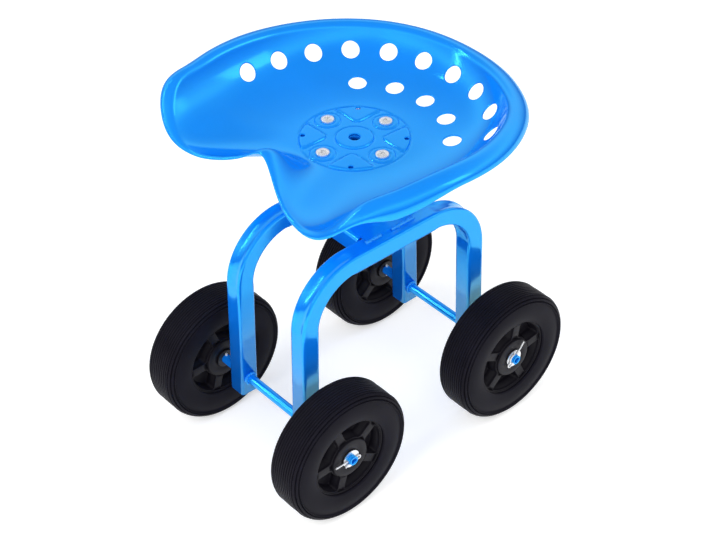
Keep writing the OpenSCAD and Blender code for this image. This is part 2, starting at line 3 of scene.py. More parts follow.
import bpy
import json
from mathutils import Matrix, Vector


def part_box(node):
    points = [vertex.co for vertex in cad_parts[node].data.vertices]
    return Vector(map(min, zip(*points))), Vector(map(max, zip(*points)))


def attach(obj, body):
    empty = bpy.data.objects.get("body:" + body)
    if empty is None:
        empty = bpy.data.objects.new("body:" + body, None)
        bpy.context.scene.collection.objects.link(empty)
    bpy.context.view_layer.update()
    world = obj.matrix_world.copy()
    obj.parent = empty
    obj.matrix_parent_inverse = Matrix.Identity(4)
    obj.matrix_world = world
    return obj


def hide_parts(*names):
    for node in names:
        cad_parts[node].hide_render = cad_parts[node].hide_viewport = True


bl_info = {
    "name": "Rolling Garden Seat",
    "version": (1, 0, 0),
    "blender": (4, 5, 0),
    "location": "3D View > Sidebar > Garden Seat",
    "description": "Builds the pressed seat, bent tubes, wheels and finishes of a rolling garden seat",
    "category": "Object",
}

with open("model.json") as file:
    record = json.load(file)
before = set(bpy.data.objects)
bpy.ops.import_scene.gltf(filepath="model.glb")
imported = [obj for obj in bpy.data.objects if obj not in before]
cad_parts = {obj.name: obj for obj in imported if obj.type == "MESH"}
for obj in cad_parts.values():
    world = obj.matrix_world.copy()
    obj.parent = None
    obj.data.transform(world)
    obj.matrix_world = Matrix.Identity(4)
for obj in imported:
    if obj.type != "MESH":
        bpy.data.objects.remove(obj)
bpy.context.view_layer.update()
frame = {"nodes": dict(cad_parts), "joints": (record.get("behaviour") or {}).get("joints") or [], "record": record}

import json
from math import atan, copysign, cos, hypot, pi, radians, sin, sqrt, tan

import bpy
import numpy as np
from bpy.props import FloatProperty, FloatVectorProperty, IntProperty, PointerProperty
from mathutils import Matrix, Quaternion, Vector, geometry

MM = 0.001
WHEELS = {j["child"]: Vector(j["pos_m"]) for j in frame["joints"] if j["child"].startswith("wheel")}
HOOP_LOW, HOOP_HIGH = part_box("hoop_right")
SEAT_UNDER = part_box("seat_plate")[1].z
WHEEL_RADIUS = WHEELS["wheel_fr"].z

# Rim of the seat every ten degrees from the back round to the notch at the front
REACH_SHARES = (0.99, 0.995, 1, 1.005, 1.015, 1.005, 0.995, 0.99, 0.99, 0.995,
                1.01, 1.05, 1.1, 1.195, 1.185, 1.05, 0.905, 0.775, 0.72)
RISE_SHARES = (0.74, 0.74, 0.755, 0.765, 0.77, 0.805, 0.845, 0.885, 0.93, 0.98,
               1.02, 1.03, 0.98, 1.05, 0.27, 0.11, 0.255, 0.45, 0.83)


def length(name, description, default):
    return FloatProperty(name=name, description=description, default=default, subtype="DISTANCE", unit="LENGTH")


def colour(name, description, default):
    return FloatVectorProperty(name=name, description=description, default=default, subtype="COLOR",
                               size=3, min=0, max=1)


def angle(name, description, degrees):
    return FloatProperty(name=name, description=description, default=radians(degrees),
                         subtype="ANGLE", unit="ROTATION")


def amount(name, description, default):
    return IntProperty(name=name, description=description, default=default)


class GARDENSEAT_PG_seat(bpy.types.PropertyGroup):
    """Sizes of the pressed seat"""

    sheet: length("Sheet", "Thickness of the pressed sheet", 2 * MM)
    reach: length("Reach", "From the middle of the seat to the crest of its rim, at the side", 180 * MM)
    rise: length("Rise", "Height of the rim's crest over the floor of the bowl, at the side", 62 * MM)
    rim_width: length("Rim width", "Width of the rolled rim outside its crest", 19 * MM)
    rim_drop: length("Rim drop", "Drop of the rolled rim below its crest", 15 * MM)
    crest_radius: length("Crest radius", "Radius of the rim's crest", 8 * MM)
    disc_radius: length("Disc radius", "Radius of the stamped disc", 66 * MM)
    disc_step: length("Disc step", "Height of the disc over the floor of the bowl", 0.4 * MM)
    pad_rise: length("Pad rise", "Height of the stamped pads over the disc", 1.4 * MM)
    crease: length("Crease", "Depth of the crease at the foot of the pads", 0.45 * MM)
    hole: length("Holes", "Diameter of the comfort holes", 22 * MM)
    outer_holes: amount("Outer holes", "Holes in the outer row", 13)
    inner_holes: amount("Inner holes", "Holes in the inner row", 5)
    plate_radius: length("Plate radius", "Radius of the round plate under the seat", 64.2 * MM)
    screw_circle: length("Screw circle", "Distance of the seat screws from the middle", 48.5 * MM)


class GARDENSEAT_PG_frame(bpy.types.PropertyGroup):
    """Sizes of the welded frame"""

    tube: length("Tube", "Side of the square tube", HOOP_HIGH.x - HOOP_LOW.x)
    wall: length("Wall", "Wall of the square tube", 1.5 * MM)
    corner: length("Corner", "Corner radius of the square tube", 3.5 * MM)
    bend: length("Bend", "Outer radius of the bends", 82 * MM)
    splay: angle("Splay", "Outward lean of the legs", 1.3)
    dent: length("Dent", "Depth of the press mark inside each bend", 2.2 * MM)
    squeeze: length("Squeeze", "How much thinner the tube gets in a bend", 2.5 * MM)
    dish: length("Dish", "Depth of the hollow along the outside of each bend", 1.9 * MM)
    axle: length("Axle", "Diameter of the axle tubes", 12 * MM)
    weld: length("Weld", "Size of the weld beads", 3 * MM)
    clip_wire: length("Clip wire", "Diameter of the wire of the hairpin clips", 2 * MM)


class GARDENSEAT_PG_wheel(bpy.types.PropertyGroup):
    """Sizes of the wheels"""

    radius: length("Radius", "Radius of a tyre", WHEEL_RADIUS)
    width: length("Width", "Width of a tyre", 50 * MM)
    hub_radius: length("Hub radius", "Radius at which the tyre sits on the hub", 54 * MM)
    boss_radius: length("Boss radius", "Radius of the hub's boss", 26 * MM)
    boss_width: length("Boss width", "Width of the hub's boss", 43 * MM)
    bore: length("Bore", "Radius of the hub's bore", 6.1 * MM)
    spokes: amount("Spokes", "Spokes of a hub", 5)
    spoke_width: length("Spoke width", "Width of a spoke", 9 * MM)
    grooves: amount("Grooves", "Grooves round the tread", 11)
    front_turn: angle("Front turn", "Turn of the front wheels' spokes", 38)
    rear_turn: angle("Rear turn", "Turn of the rear wheels' spokes", 8)


class GARDENSEAT_PG_finish(bpy.types.PropertyGroup):
    """Colours of the finishes"""

    paint: colour("Paint", "Blue powder coat", (0.003, 0.2, 0.9))
    rubber: colour("Rubber", "Black tyre rubber", (0.0075, 0.007, 0.0112))
    plastic: colour("Plastic", "Black moulded plastic", (0.0068, 0.0062, 0.0096))
    zinc: colour("Zinc", "Bright zinc plate", (0.86, 0.87, 0.89))


class Graph:
    """Adds nodes to a node tree: type, the values or links of the sockets, and settings."""

    def __init__(self, tree):
        self.tree = tree
        tree.nodes.clear()

    def node(self, kind, inputs=None, **settings):
        made = self.tree.nodes.new(kind)
        for name, value in settings.items():
            setattr(made, name, value)
        for key, value in (inputs or {}).items():
            value = getattr(value, "socket", value)
            if isinstance(value, bpy.types.NodeSocket):
                self.tree.links.new(value, made.inputs[key])
            else:
                made.inputs[key].default_value = value
        return made

    def number(self, kind, inputs=None, output=0, **settings):
        return Number(self, self.node(kind, inputs, **settings).outputs[output])

    def ramp(self, value, *stops):
        """Greys through stops, each a place and a tone."""
        made = self.node("ShaderNodeValToRGB", {0: value})
        for _ in stops[2:]:
            made.color_ramp.elements.new(0.5)
        for element, (place, tone) in zip(made.color_ramp.elements, stops):
            element.position = place
            element.color = (tone, tone, tone, 1)
        return Number(self, made.outputs[0])


class Number:
    """A number in a node tree that takes part in Python sums."""

    def __init__(self, graph, socket):
        self.graph = graph
        self.socket = socket

    def maths(self, operation, *terms):
        return self.graph.number("ShaderNodeMath", dict(enumerate((self, *terms))), operation=operation)

    def __add__(self, other):
        return self.maths("ADD", other)

    def __sub__(self, other):
        return self.maths("SUBTRACT", other)

    def __rsub__(self, other):
        return Number(self.graph, other).maths("SUBTRACT", self)

    def __mul__(self, other):
        return self.maths("MULTIPLY", other)

    __radd__ = __add__
    __rmul__ = __mul__


class Finish(Graph):
    """A material round one Principled shader, with noises on Object coordinates."""

    def __init__(self, name, **constants):
        self.material = bpy.data.materials.new(name)
        self.material.use_nodes = True
        super().__init__(self.material.node_tree)
        self.shader = self.node("ShaderNodeBsdfPrincipled")
        self.node("ShaderNodeOutputMaterial", {0: self.shader.outputs[0]})
        self.place = self.node("ShaderNodeTexCoord").outputs["Object"]
        for socket, value in constants.items():
            self.shader.inputs[socket.replace("_", " ")].default_value = value

    def noise(self, scale, detail=2.0, roughness=0.5, stretch=None):
        place = self.place
        if stretch:
            place = self.node("ShaderNodeMapping", {"Vector": place, "Scale": stretch}).outputs[0]
        return self.number("ShaderNodeTexNoise",
                           {"Vector": place, "Scale": scale, "Detail": detail, "Roughness": roughness})

    def cells(self, scale):
        return self.number("ShaderNodeTexVoronoi", {"Vector": self.place, "Scale": scale})

    def blend(self, factor, low, high):
        return self.node("ShaderNodeMix", {0: factor, 6: (*low, 1), 7: (*high, 1)}, data_type="RGBA").outputs[2]

    def set(self, **links):
        for socket, value in links.items():
            self.tree.links.new(getattr(value, "socket", value), self.shader.inputs[socket.replace("_", " ")])

    def bump(self, height, depth, strength=0.5):
        """Fine relief of a depth in metres; the material is done then."""
        bump = self.node("ShaderNodeBump", {"Strength": strength, "Distance": depth, "Height": height})
        self.set(Normal=bump.outputs[0])
        return self.material


def shade(tone, factor):
    return tuple(min(1.0, c * factor) for c in tone)


def powder_coat(name, tone, tint=(0.06, 0.84, 1, 1)):
    """Gloss powder coat: deep colour with tinted reflections, orange peel and a faint cloudiness."""
    f = Finish(name, IOR=2.15, Coat_Roughness=0.03, Coat_IOR=1.5, Specular_IOR_Level=1.0, Specular_Tint=tint)
    cloud = f.ramp(f.noise(11, 3), (0.3, 0.0), (0.7, 1.0))
    f.set(Base_Color=f.blend(cloud, shade(tone, 0.95), shade(tone, 1.04)),
          Roughness=0.1 + f.noise(240, 3) * 0.05, Coat_Weight=0.08 + f.noise(30) * 0.06)
    return f.bump(f.noise(420, 1.5) + f.noise(1500, 1) * 0.25, 0.02 * MM)


def weld_coat(name, tone):
    """Powder coat over weld beads, where it flows thick and its reflections are paler."""
    return powder_coat(name, tone, (0.2, 1, 1, 1))


def tyre_rubber(name, tone):
    """Moulded rubber: fine grain, a dull sheen and a slight bloom."""
    f = Finish(name, IOR=1.5, Specular_IOR_Level=0.05)
    bloom = f.ramp(f.noise(26, 4, 0.6), (0.35, 0.0), (0.7, 1.0))
    f.set(Base_Color=f.blend(bloom, tone, shade(tone, 1.35)),
          Roughness=0.3 + f.noise(700, 3) * 0.1 + bloom * 0.05)
    return f.bump(f.noise(1900) + f.noise(340) * 0.5, 0.04 * MM)


def moulded_plastic(name, tone):
    """Injection-moulded plastic: sparked texture and flow marks."""
    f = Finish(name, IOR=1.5, Specular_IOR_Level=0.16)
    flow = f.noise(18, stretch=(0.3, 1, 1))
    f.set(Base_Color=f.blend(flow, shade(tone, 0.9), shade(tone, 1.25)), Roughness=0.34 + f.noise(900) * 0.14)
    return f.bump(f.cells(1300) + f.noise(2400) * 0.6, 0.03 * MM, 0.4)


def zinc_bump(f):
    """Fine drawing marks along Z."""
    return f.bump(f.noise(2200, stretch=(1, 1, 0.15)), 0.02 * MM)


def zinc_plate(name, tone):
    """Bright zinc plate with fine drawing marks and a little mottling."""
    f = Finish(name, Metallic=0.55, Specular_IOR_Level=1.0)
    mottle = f.ramp(f.noise(320, 4, 0.65), (0.35, 0.0), (0.65, 1.0))
    f.set(Base_Color=f.blend(mottle, shade(tone, 0.86), shade(tone, 1.05)), Roughness=0.2 + mottle * 0.12)
    return zinc_bump(f)


def washer_plate(name, tone):
    """Zinc on the washers outside the wheels; the ones inside are black."""
    black = (0.012, 0.011, 0.014)
    f = Finish(name)
    across = f.number("ShaderNodeSeparateXYZ", {0: f.place}).maths("ABSOLUTE")
    outside = across.maths("GREATER_THAN", abs(WHEELS["wheel_fr"].x))
    f.set(Base_Color=f.blend(outside, black, tone), Metallic=outside,
          Roughness=0.45 + outside * -0.2 + f.noise(320, 4, 0.65) * 0.1)
    return zinc_bump(f)


class Kit:
    """What the operators share: settings and finishes."""

    def __init__(self, scene):
        self.seat = scene.garden_seat_pan
        self.frame = scene.garden_seat_frame
        self.wheel = scene.garden_seat_wheel
        tones = scene.garden_seat_finish
        self.makers = {
            "blue_paint": (powder_coat, tones.paint),
            "black_rubber": (tyre_rubber, tones.rubber),
            "black_plastic": (moulded_plastic, tones.plastic),
            "black_nylon": (moulded_plastic, tones.plastic),
            "zinc": (zinc_plate, tones.zinc),
            "washers": (washer_plate, tones.zinc),
            "welds": (weld_coat, tones.paint),
        }

    def finish(self, slot):
        found = bpy.data.materials.get("finish_" + slot)
        maker, tone = self.makers[slot]
        return found or maker("finish_" + slot, tuple(tone))


def new_object(name, data):
    made = bpy.data.objects.new(name, data)
    bpy.context.scene.collection.objects.link(made)
    return made


def mesh_object(name, points, faces, smooth=True):
    mesh = bpy.data.meshes.new(name)
    mesh.from_pydata([tuple(p) for p in points], [], [tuple(int(i) for i in f) for f in faces])
    mesh.validate()
    mesh.shade_smooth() if smooth else mesh.shade_flat()
    return new_object(name, mesh)


def polyline(name, points):
    """Curve object with straight pieces between points."""
    curve = bpy.data.curves.new(name, "CURVE")
    curve.dimensions = "3D"
    spline = curve.splines.new("POLY")
    spline.points.add(len(points) - 1)
    for point, place in zip(spline.points, points):
        point.co = (*place, 1)
    return new_object(name, curve)


def plain(made):
    """The object as a plain mesh, without its modifiers or curve."""
    graph = bpy.context.evaluated_depsgraph_get()
    mesh = bpy.data.meshes.new_from_object(made.evaluated_get(graph), depsgraph=graph)
    if made.type != "MESH":
        name = made.name
        bpy.data.objects.remove(made)
        return new_object(name, mesh)
    old = made.data
    made.modifiers.clear()
    made.data = mesh
    bpy.data.meshes.remove(old)
    return made


def settle(made, kit, slot, body, *replaced, finish=None):
    """Turns a piece into a plain mesh with its finish, on its body, in place of its CAD nodes."""
    made = plain(made)
    made.data.materials.clear()
    made.data.materials.append(kit.finish(finish or slot))
    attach(made, body)
    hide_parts(*replaced)
    return made


def ease(t, start=0, end=1):
    """Smooth rise from 0 at start to 1 at end."""
    t = np.clip((t - start) / (end - start), 0, 1)
    return t * t * (3 - 2 * t)


def run_along(line):
    """Distance along an open line to each of its points."""
    return np.concatenate([[0], np.cumsum(np.linalg.norm(np.diff(line, axis=0), axis=1))])


class SeatSurface:
    """The seat's top face over its unrolled plan: inside the disc the plan itself, outside it arc length."""

    # Wall: power of its steep part, share of its shallow part, least lean at the crest
    steep_power, shallow_share, least_lean = 7, 0.4, radians(8)
    # Bearings in degrees from the back between which the rim narrows, the front ridge forms and the hem comes and goes
    taper, ridge, hem_in, hem_out = (118, 152), (140, 172), (94, 116), (134, 118)
    # Shares of the rim and of its crest left at the notch, and how much lower the hem hangs
    lip_share, crest_lip_share, hem_share = 0.26, 0.45, 0.5
    # Stamped pads, and the groove round the screws' heads inside the edge of their pads
    centre_pad, screw_pad_radius, head_groove = 22 * MM, 15 * MM, 6 * MM
    corner_side, corner_round, corner_reach, corner_soft = 22 * MM, 7 * MM, 64.5 * MM, 5 * MM
    # Widths of the slopes, and the creases' distances from the pads and the disc and half widths
    disc_slope, pad_slope, pad_crease, disc_crease = 1.4 * MM, 1.3 * MM, 1.05 * MM, 0.6 * MM
    crease_half, groove_half = 0.7 * MM, 1.1 * MM
    # Degrees between the sections, and points along each
    step, samples = 0.5, 120

    def __init__(self, s):
        self.s = s
        self.out, self.height, self.reach = [], [], []
        for bearing in np.arange(0, 180 + self.step / 2, self.step):
            line = self.section(bearing)
            run = run_along(line)
            at = np.linspace(0, run[-1], self.samples + 1)
            self.out.append(np.interp(at, run, line[:, 0]))
            self.height.append(np.interp(at, run, line[:, 1]))
            self.reach.append(run[-1])
        self.out, self.height, self.reach = map(np.array, (self.out, self.height, self.reach))

    def curve(self, shares, bearing):
        """Smooth curve through the shares of every ten degrees, mirrored at both ends."""
        u = bearing / 10
        i = min(int(u), len(shares) - 2)
        t = u - i
        last = len(shares) - 1
        a, b, c, d = (shares[2 * last - abs(k) if abs(k) > last else abs(k)] for k in (i - 1, i, i + 1, i + 2))
        return (a * (1 - t) ** 3 + b * (3 * t**3 - 6 * t**2 + 4)
                + c * (-3 * t**3 + 3 * t**2 + 3 * t + 1) + d * t**3) / 6

    def section(self, bearing):
        """Radius and height of the top face along one bearing, from the disc's edge to the rim's lip."""
        s = self.s
        out = s.reach * self.curve(REACH_SHARES, bearing)
        up = s.rise * self.curve(RISE_SHARES, bearing)
        narrow = 1 - (1 - self.lip_share) * ease(bearing, *self.taper)
        ridged = ease(bearing, *self.ridge)
        crest = s.crest_radius * max(self.crest_lip_share, narrow)
        slope = (1 - ridged) * (2 * self.shallow_share + (1 - self.shallow_share) * self.steep_power)
        lean = max(self.least_lean, atan(slope * up / (out - s.disc_radius)))
        wall_out, wall_up = out - crest * sin(lean), up - crest * (1 - cos(lean))
        t = np.linspace(0, 1, 90)
        share = (1 - ridged) * (self.shallow_share * t**2 + (1 - self.shallow_share) * t**self.steep_power)
        share += ridged * ease(t)
        wall = np.stack([s.disc_radius + (wall_out - s.disc_radius) * t, wall_up * share], 1)
        a = lean * (1 - np.linspace(0, 1, 14)[1:])
        top = np.stack([out - crest * np.sin(a), up - crest * (1 - np.cos(a))], 1)
        a = pi / 2 * np.linspace(0, 1, 24)[1:]
        hem = 1 + self.hem_share * ease(bearing, *self.hem_in) * ease(bearing, *self.hem_out)
        drop = s.rim_drop * narrow * hem
        skirt = np.stack([out + s.rim_width * narrow * np.sin(a), up - drop * (1 - np.cos(a))], 1)
        return np.concatenate([wall, top, skirt])

    def end(self, bearing):
        """Unrolled distance of the rim's lip from the middle."""
        return self.s.disc_radius + np.interp(bearing, np.arange(len(self.reach)) * self.step, self.reach)

    def unrolled(self, bearing, out):
        """Unrolled distance of the place on the wall at a radius, for a bearing in degrees."""
        i = int(round(abs(bearing) / self.step))
        line = self.out[i]
        arc = np.linspace(0, self.reach[i], len(line))
        wall = np.argmax(line)
        return self.s.disc_radius + np.interp(out, line[:wall], arc[:wall])

    def lift(self, plan):
        """Points of the top face over points of the unrolled plan."""
        s = self.s
        far = np.hypot(*plan.T)
        turn = np.arctan2(plan[:, 0], plan[:, 1])
        bearing = np.degrees(np.abs(turn)) / self.step
        i = np.clip(bearing.astype(int), 0, len(self.reach) - 2)
        f = bearing - i
        span = self.reach[i] * (1 - f) + self.reach[i + 1] * f
        along = np.clip((far - s.disc_radius) / span, 0, 1) * self.samples
        j = np.clip(along.astype(int), 0, self.samples - 1)
        g = along - j

        def read(table):
            return ((table[i, j] * (1 - f) + table[i + 1, j] * f) * (1 - g)
                    + (table[i, j + 1] * (1 - f) + table[i + 1, j + 1] * f) * g)

        inside = far <= s.disc_radius
        out = np.where(inside, far, read(self.out))
        up = np.where(inside, 0, read(self.height)) + self.stamped(plan, far)
        return np.stack([out * np.sin(turn), out * np.cos(turn), up], 1)

    def stamped(self, plan, far):
        """Height of the disc and its pads, with a crease at the foot of each."""
        s = self.s
        disc = s.disc_step * ease((s.disc_radius - far) / self.disc_slope)
        screws = self.screw_pad(plan)
        pads = ((self.corner_pad(plan), 1), (far - self.centre_pad, 1), (screws, 0.5))
        raised = np.maximum.reduce([share * ease(0.5 - away / self.pad_slope) for away, share in pads])
        foot = np.minimum.reduce([np.abs(away - self.pad_crease) for away, _ in pads])
        foot = np.minimum(foot, np.abs(far - s.disc_radius - self.disc_crease))
        heads = np.abs(screws + self.head_groove)
        crease = s.crease * ease(1 - foot / self.crease_half) * (1 - raised)
        return disc + s.pad_rise * raised - crease - s.crease * ease(1 - heads / self.groove_half)

    def corner_pad(self, plan):
        """Distance to the edge of the nearest corner pad, negative inside it."""
        x, y = np.abs(plan.T)
        a, b = self.corner_side + self.corner_round - x, self.corner_side + self.corner_round - y
        near = np.hypot(np.maximum(a, 0), np.maximum(b, 0)) + np.minimum(np.maximum(a, b), 0) - self.corner_round
        return blend_max(near, np.hypot(x, y) - self.corner_reach, self.corner_soft)

    def screw_pad(self, plan):
        """Distance to the edge of the nearest screw's pad, negative inside it."""
        x, y = np.abs(plan.T)
        at = self.s.screw_circle
        return np.minimum(np.hypot(x - at, y), np.hypot(x, y - at)) - self.screw_pad_radius


def blend_max(a, b, soft):
    """The larger of two distances, with the corner between them rounded."""
    h = np.maximum(soft - np.abs(a - b), 0) / soft
    return np.maximum(a, b) + h * h * soft / 4


def ring(count, radius, middle=(0, 0)):
    """Points round a circle."""
    turn = np.arange(count) * 2 * pi / count
    return np.array(middle) + np.stack([np.cos(turn), np.sin(turn)], 1) * radius


def contour(distance, middle, level, count=96, reach=40 * MM):
    """Closed loop where a distance field has one level, found along rays from a middle point."""
    ways = ring(count, 1)
    low, high = np.zeros(count), np.full(count, reach)
    for _ in range(30):
        half = (low + high) / 2
        inside = distance(middle + ways * half[:, None]) < level
        low, high = np.where(inside, half, low), np.where(inside, high, half)
    return middle + ways * low[:, None]


def heading(degrees, far):
    """Point at a bearing from the back of the seat."""
    turn = radians(degrees)
    return far * sin(turn), far * cos(turn)


def outward(x, y):
    """Unit vectors away from the middle and across that."""
    far = hypot(x, y)
    x, y = (x / far, y / far) if far else (0, 1)
    return np.array([x, y]), np.array([-y, x])


class Plan:
    """Points and constrained loops in a plane, triangulated with mathutils."""

    def __init__(self):
        self.points, self.edges, self.count = [], [], 0

    def add(self, points, closed=False):
        points = np.asarray(points)
        if closed:
            ids = np.arange(len(points)) + self.count
            self.edges += [(int(a), int(b)) for a, b in zip(ids, np.roll(ids, -1))]
        self.points.append(points)
        self.count += len(points)
        return np.arange(self.count - len(points), self.count)

    def triangles(self, keep):
        """Points that are used, triangles whose middle passes the test, and the points' own numbers."""
        flat = np.concatenate(self.points)
        made = geometry.delaunay_2d_cdt([Vector(p) for p in flat], self.edges, [], 0, 1e-9)
        own = np.array([ids[0] for ids in made[3]])
        points = flat[own]
        triangles = np.array(made[2])
        triangles = triangles[keep(points[triangles].mean(1))]
        a, b, c = (points[triangles[:, k]] for k in range(3))
        turned = (b[:, 0] - a[:, 0]) * (c[:, 1] - a[:, 1]) - (b[:, 1] - a[:, 1]) * (c[:, 0] - a[:, 0]) < 0
        triangles[turned] = triangles[turned][:, ::-1]
        used, triangles = np.unique(triangles, return_inverse=True)
        return points[used], triangles.reshape(-1, 3), own[used]


def open_edges(triangles):
    """Directed edges that only one triangle has."""
    edges = np.concatenate([triangles[:, [0, 1]], triangles[:, [1, 2]], triangles[:, [2, 0]]])
    size = edges.max() + 1
    codes = edges[:, 0] * size + edges[:, 1]
    return edges[~np.isin(edges[:, 1] * size + edges[:, 0], codes)]


def rounded_sheet(name, triangles, top, normal, clear, edge, thickness):
    """Closed sheet under a top face; clear is each point's distance to the nearest edge, which is rounded."""
    clear = np.clip(clear, 0, edge)
    drop = (edge - np.sqrt(np.maximum(edge**2 - (edge - clear) ** 2, 0)))[:, None]
    points = np.concatenate([top - normal * drop, top - normal * (thickness - drop)])
    size = len(top)
    faces = [tuple(t) for t in triangles] + [tuple(t[::-1] + size) for t in triangles]
    faces += [(b, a, a + size, b + size) for a, b in open_edges(triangles)]
    return mesh_object(name, points, faces)


class GARDENSEAT_OT_seat(bpy.types.Operator):
    """Builds the pressed seat with its rolled rim, stamped disc and punched holes, and its plate"""

    bl_idname = "garden_seat.seat"
    bl_label = "Pressed seat"

    # Degrees between the comfort holes of a row, and the row's share of the reach
    outer_row, inner_row = (16.9, 0.876), (23.6, 0.625)
    centre_hole, screw_hole, weep_hole, weep_circle = 7 * MM, 4.3 * MM, 3 * MM, 61 * MM
    # Bearings of the corner pads and weep holes, how far out the pads' middles lie, radius of the rings round a screw
    corners, corner_middle, head_ring = (45, 135, 225, 315), 46 * MM, 8.3 * MM
    edge, plate_edge = 0.7 * MM, 0.6 * MM
    wall_rows, wall_spacing = 74, 3.1 * MM

    def punched(self, s, surface):
        """Holes on the unrolled plan: x, y, radius and the plan's stretch across the way outward."""
        holes = []
        for count, (pitch, share) in ((s.outer_holes, self.outer_row), (s.inner_holes, self.inner_row)):
            for k in range(count):
                bearing = (k - (count - 1) / 2) * pitch
                out = s.reach * surface.curve(REACH_SHARES, abs(bearing)) * share
                far = surface.unrolled(bearing, out)
                holes.append((*heading(bearing, far), s.hole / 2, far / out))
        holes.append((0, 0, self.centre_hole, 1))
        holes += [(*heading(bearing, self.weep_circle), self.weep_hole, 1) for bearing in self.corners]
        return np.array(holes)

    def execute(self, context):
        kit = Kit(context.scene)
        s = kit.seat
        surface = SeatSurface(s)
        holes = self.punched(s, surface)

        def from_holes(plan):
            """Distance to the edge of the nearest hole, measured on the sheet."""
            best = np.full(len(plan), 1.0)
            for x, y, radius, stretch in holes:
                d = plan - (x, y)
                way, side = outward(x, y)
                best = np.minimum(best, np.hypot(d @ way, (d @ side) / stretch) - radius)
            return best

        def rim_gap(points):
            """Distance to the rim's lip."""
            turn = np.degrees(np.abs(np.arctan2(points[:, 0], points[:, 1])))
            return surface.end(turn) - np.hypot(*points.T)

        # Loops round the holes
        plan = Plan()
        for x, y, radius, stretch in holes:
            count = max(24, int(radius * 2 * pi / (1.5 * MM)))
            way, side = outward(x, y)
            for grow in (0, 0.1, 0.3, 0.7, 1.7, 3.2):
                loop = ring(count, radius + grow * MM)
                plan.add((x, y) + loop[:, :1] * way + loop[:, 1:] * (side * stretch), closed=grow < 1)
        # Loops along the edges of the pads and of the disc
        for level in np.array((-0.65, -0.33, 0, 0.35, 0.7, 1.05, 1.4, 1.75)) * MM:
            for bearing in self.corners:
                loop = contour(surface.corner_pad, heading(bearing, self.corner_middle), level, 90)
                plan.add(loop[from_holes(loop) > 1.4 * MM])
                middle = heading(bearing - 45, s.screw_circle)
                plan.add(ring(64, surface.screw_pad_radius + level, middle))
                plan.add(ring(48, self.head_ring + level, middle))
            plan.add(ring(96, surface.centre_pad + level))
        for inset in (-1.4, -1, -0.6, -0.2, 0, 0.35, 0.7, 1.05, 1.4):
            plan.add(ring(260, s.disc_radius - inset * MM))
        # Rings over the rest of the disc
        for out in np.arange(9, 66, 2.1) * MM:
            loop = ring(int(2 * pi * out / (2.3 * MM)), out)
            screws = surface.screw_pad(loop)
            clear = np.abs([surface.corner_pad(loop), screws, np.hypot(*loop.T) - surface.centre_pad,
                            screws + 6.5 * MM]).min(0)
            plan.add(loop[(clear > 1.9 * MM) & (from_holes(loop) > 3.4 * MM)])
        # Rows up the wall and over the rim
        for row in range(1, self.wall_rows + 1):
            share = row / self.wall_rows
            size = int(2 * pi * (s.disc_radius + share * surface.reach.mean()) / self.wall_spacing)
            turn = (np.arange(size) + 0.5 * (row % 2)) * 2 * pi / size
            end = surface.end(np.degrees(np.abs((turn + pi) % (2 * pi) - pi)))
            ways = np.stack([np.sin(turn), np.cos(turn)], 1)
            if row == self.wall_rows:
                for back in (0, 0.1, 0.3, 0.7, 1.4):
                    plan.add(ways * (end - back * MM)[:, None], closed=back < 1)
            else:
                loop = ways * (s.disc_radius + share * (end - s.disc_radius))[:, None]
                plan.add(loop[from_holes(loop) > 3.8 * MM])

        flat, triangles, _ = plan.triangles(lambda p: (from_holes(p) > 0) & (rim_gap(p) > 0))
        top = surface.lift(flat)
        small = 0.05 * MM
        across = surface.lift(flat + (small, 0)) - surface.lift(flat - (small, 0))
        along = surface.lift(flat + (0, small)) - surface.lift(flat - (0, small))
        normal = np.cross(across, along)
        normal /= np.linalg.norm(normal, axis=1)[:, None]
        top[:, 2] += SEAT_UNDER + s.sheet - s.disc_step
        clear = np.minimum(from_holes(flat), rim_gap(flat))
        made = rounded_sheet("pressed_seat", triangles, top, normal, clear, self.edge, s.sheet)
        settle(made, kit, "blue_paint", "seat", "seat_pan")
        self.plate(kit)
        return {"FINISHED"}

    def plate(self, kit):
        """Round plate under the seat, with the screws' holes; it closes the weep holes from below."""
        s = kit.seat
        low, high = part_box("seat_plate")
        at, hole = s.screw_circle, self.screw_hole
        holes = ((0, 0, self.centre_hole), (at, 0, hole), (0, at, hole), (-at, 0, hole), (0, -at, hole))

        def gap(p):
            """Distance to the nearest edge of the plate."""
            inner = np.minimum.reduce([np.hypot(*(p - (x, y)).T) - radius for x, y, radius in holes])
            return np.minimum(inner, s.plate_radius - np.hypot(*p.T))

        plan = Plan()
        for back in (0, 0.1, 0.3, 0.6):
            plan.add(ring(160, s.plate_radius - back * MM), closed=back == 0)
            for x, y, radius in holes:
                plan.add(ring(40, radius + back * MM, (x, y)), closed=back == 0)
        for out in np.arange(10, 63, 4) * MM:
            loop = ring(int(2 * pi * out / (4 * MM)), out)
            plan.add(loop[gap(loop) > 2 * MM])
        flat, triangles, _ = plan.triangles(lambda p: gap(p) > 0)
        top = np.column_stack([flat, np.full(len(flat), high.z)])
        made = rounded_sheet("swivel_plate", triangles, top, np.array((0, 0, 1)), gap(flat), self.plate_edge,
                             high.z - low.z)
        settle(made, kit, "blue_paint", "seat", "seat_plate")


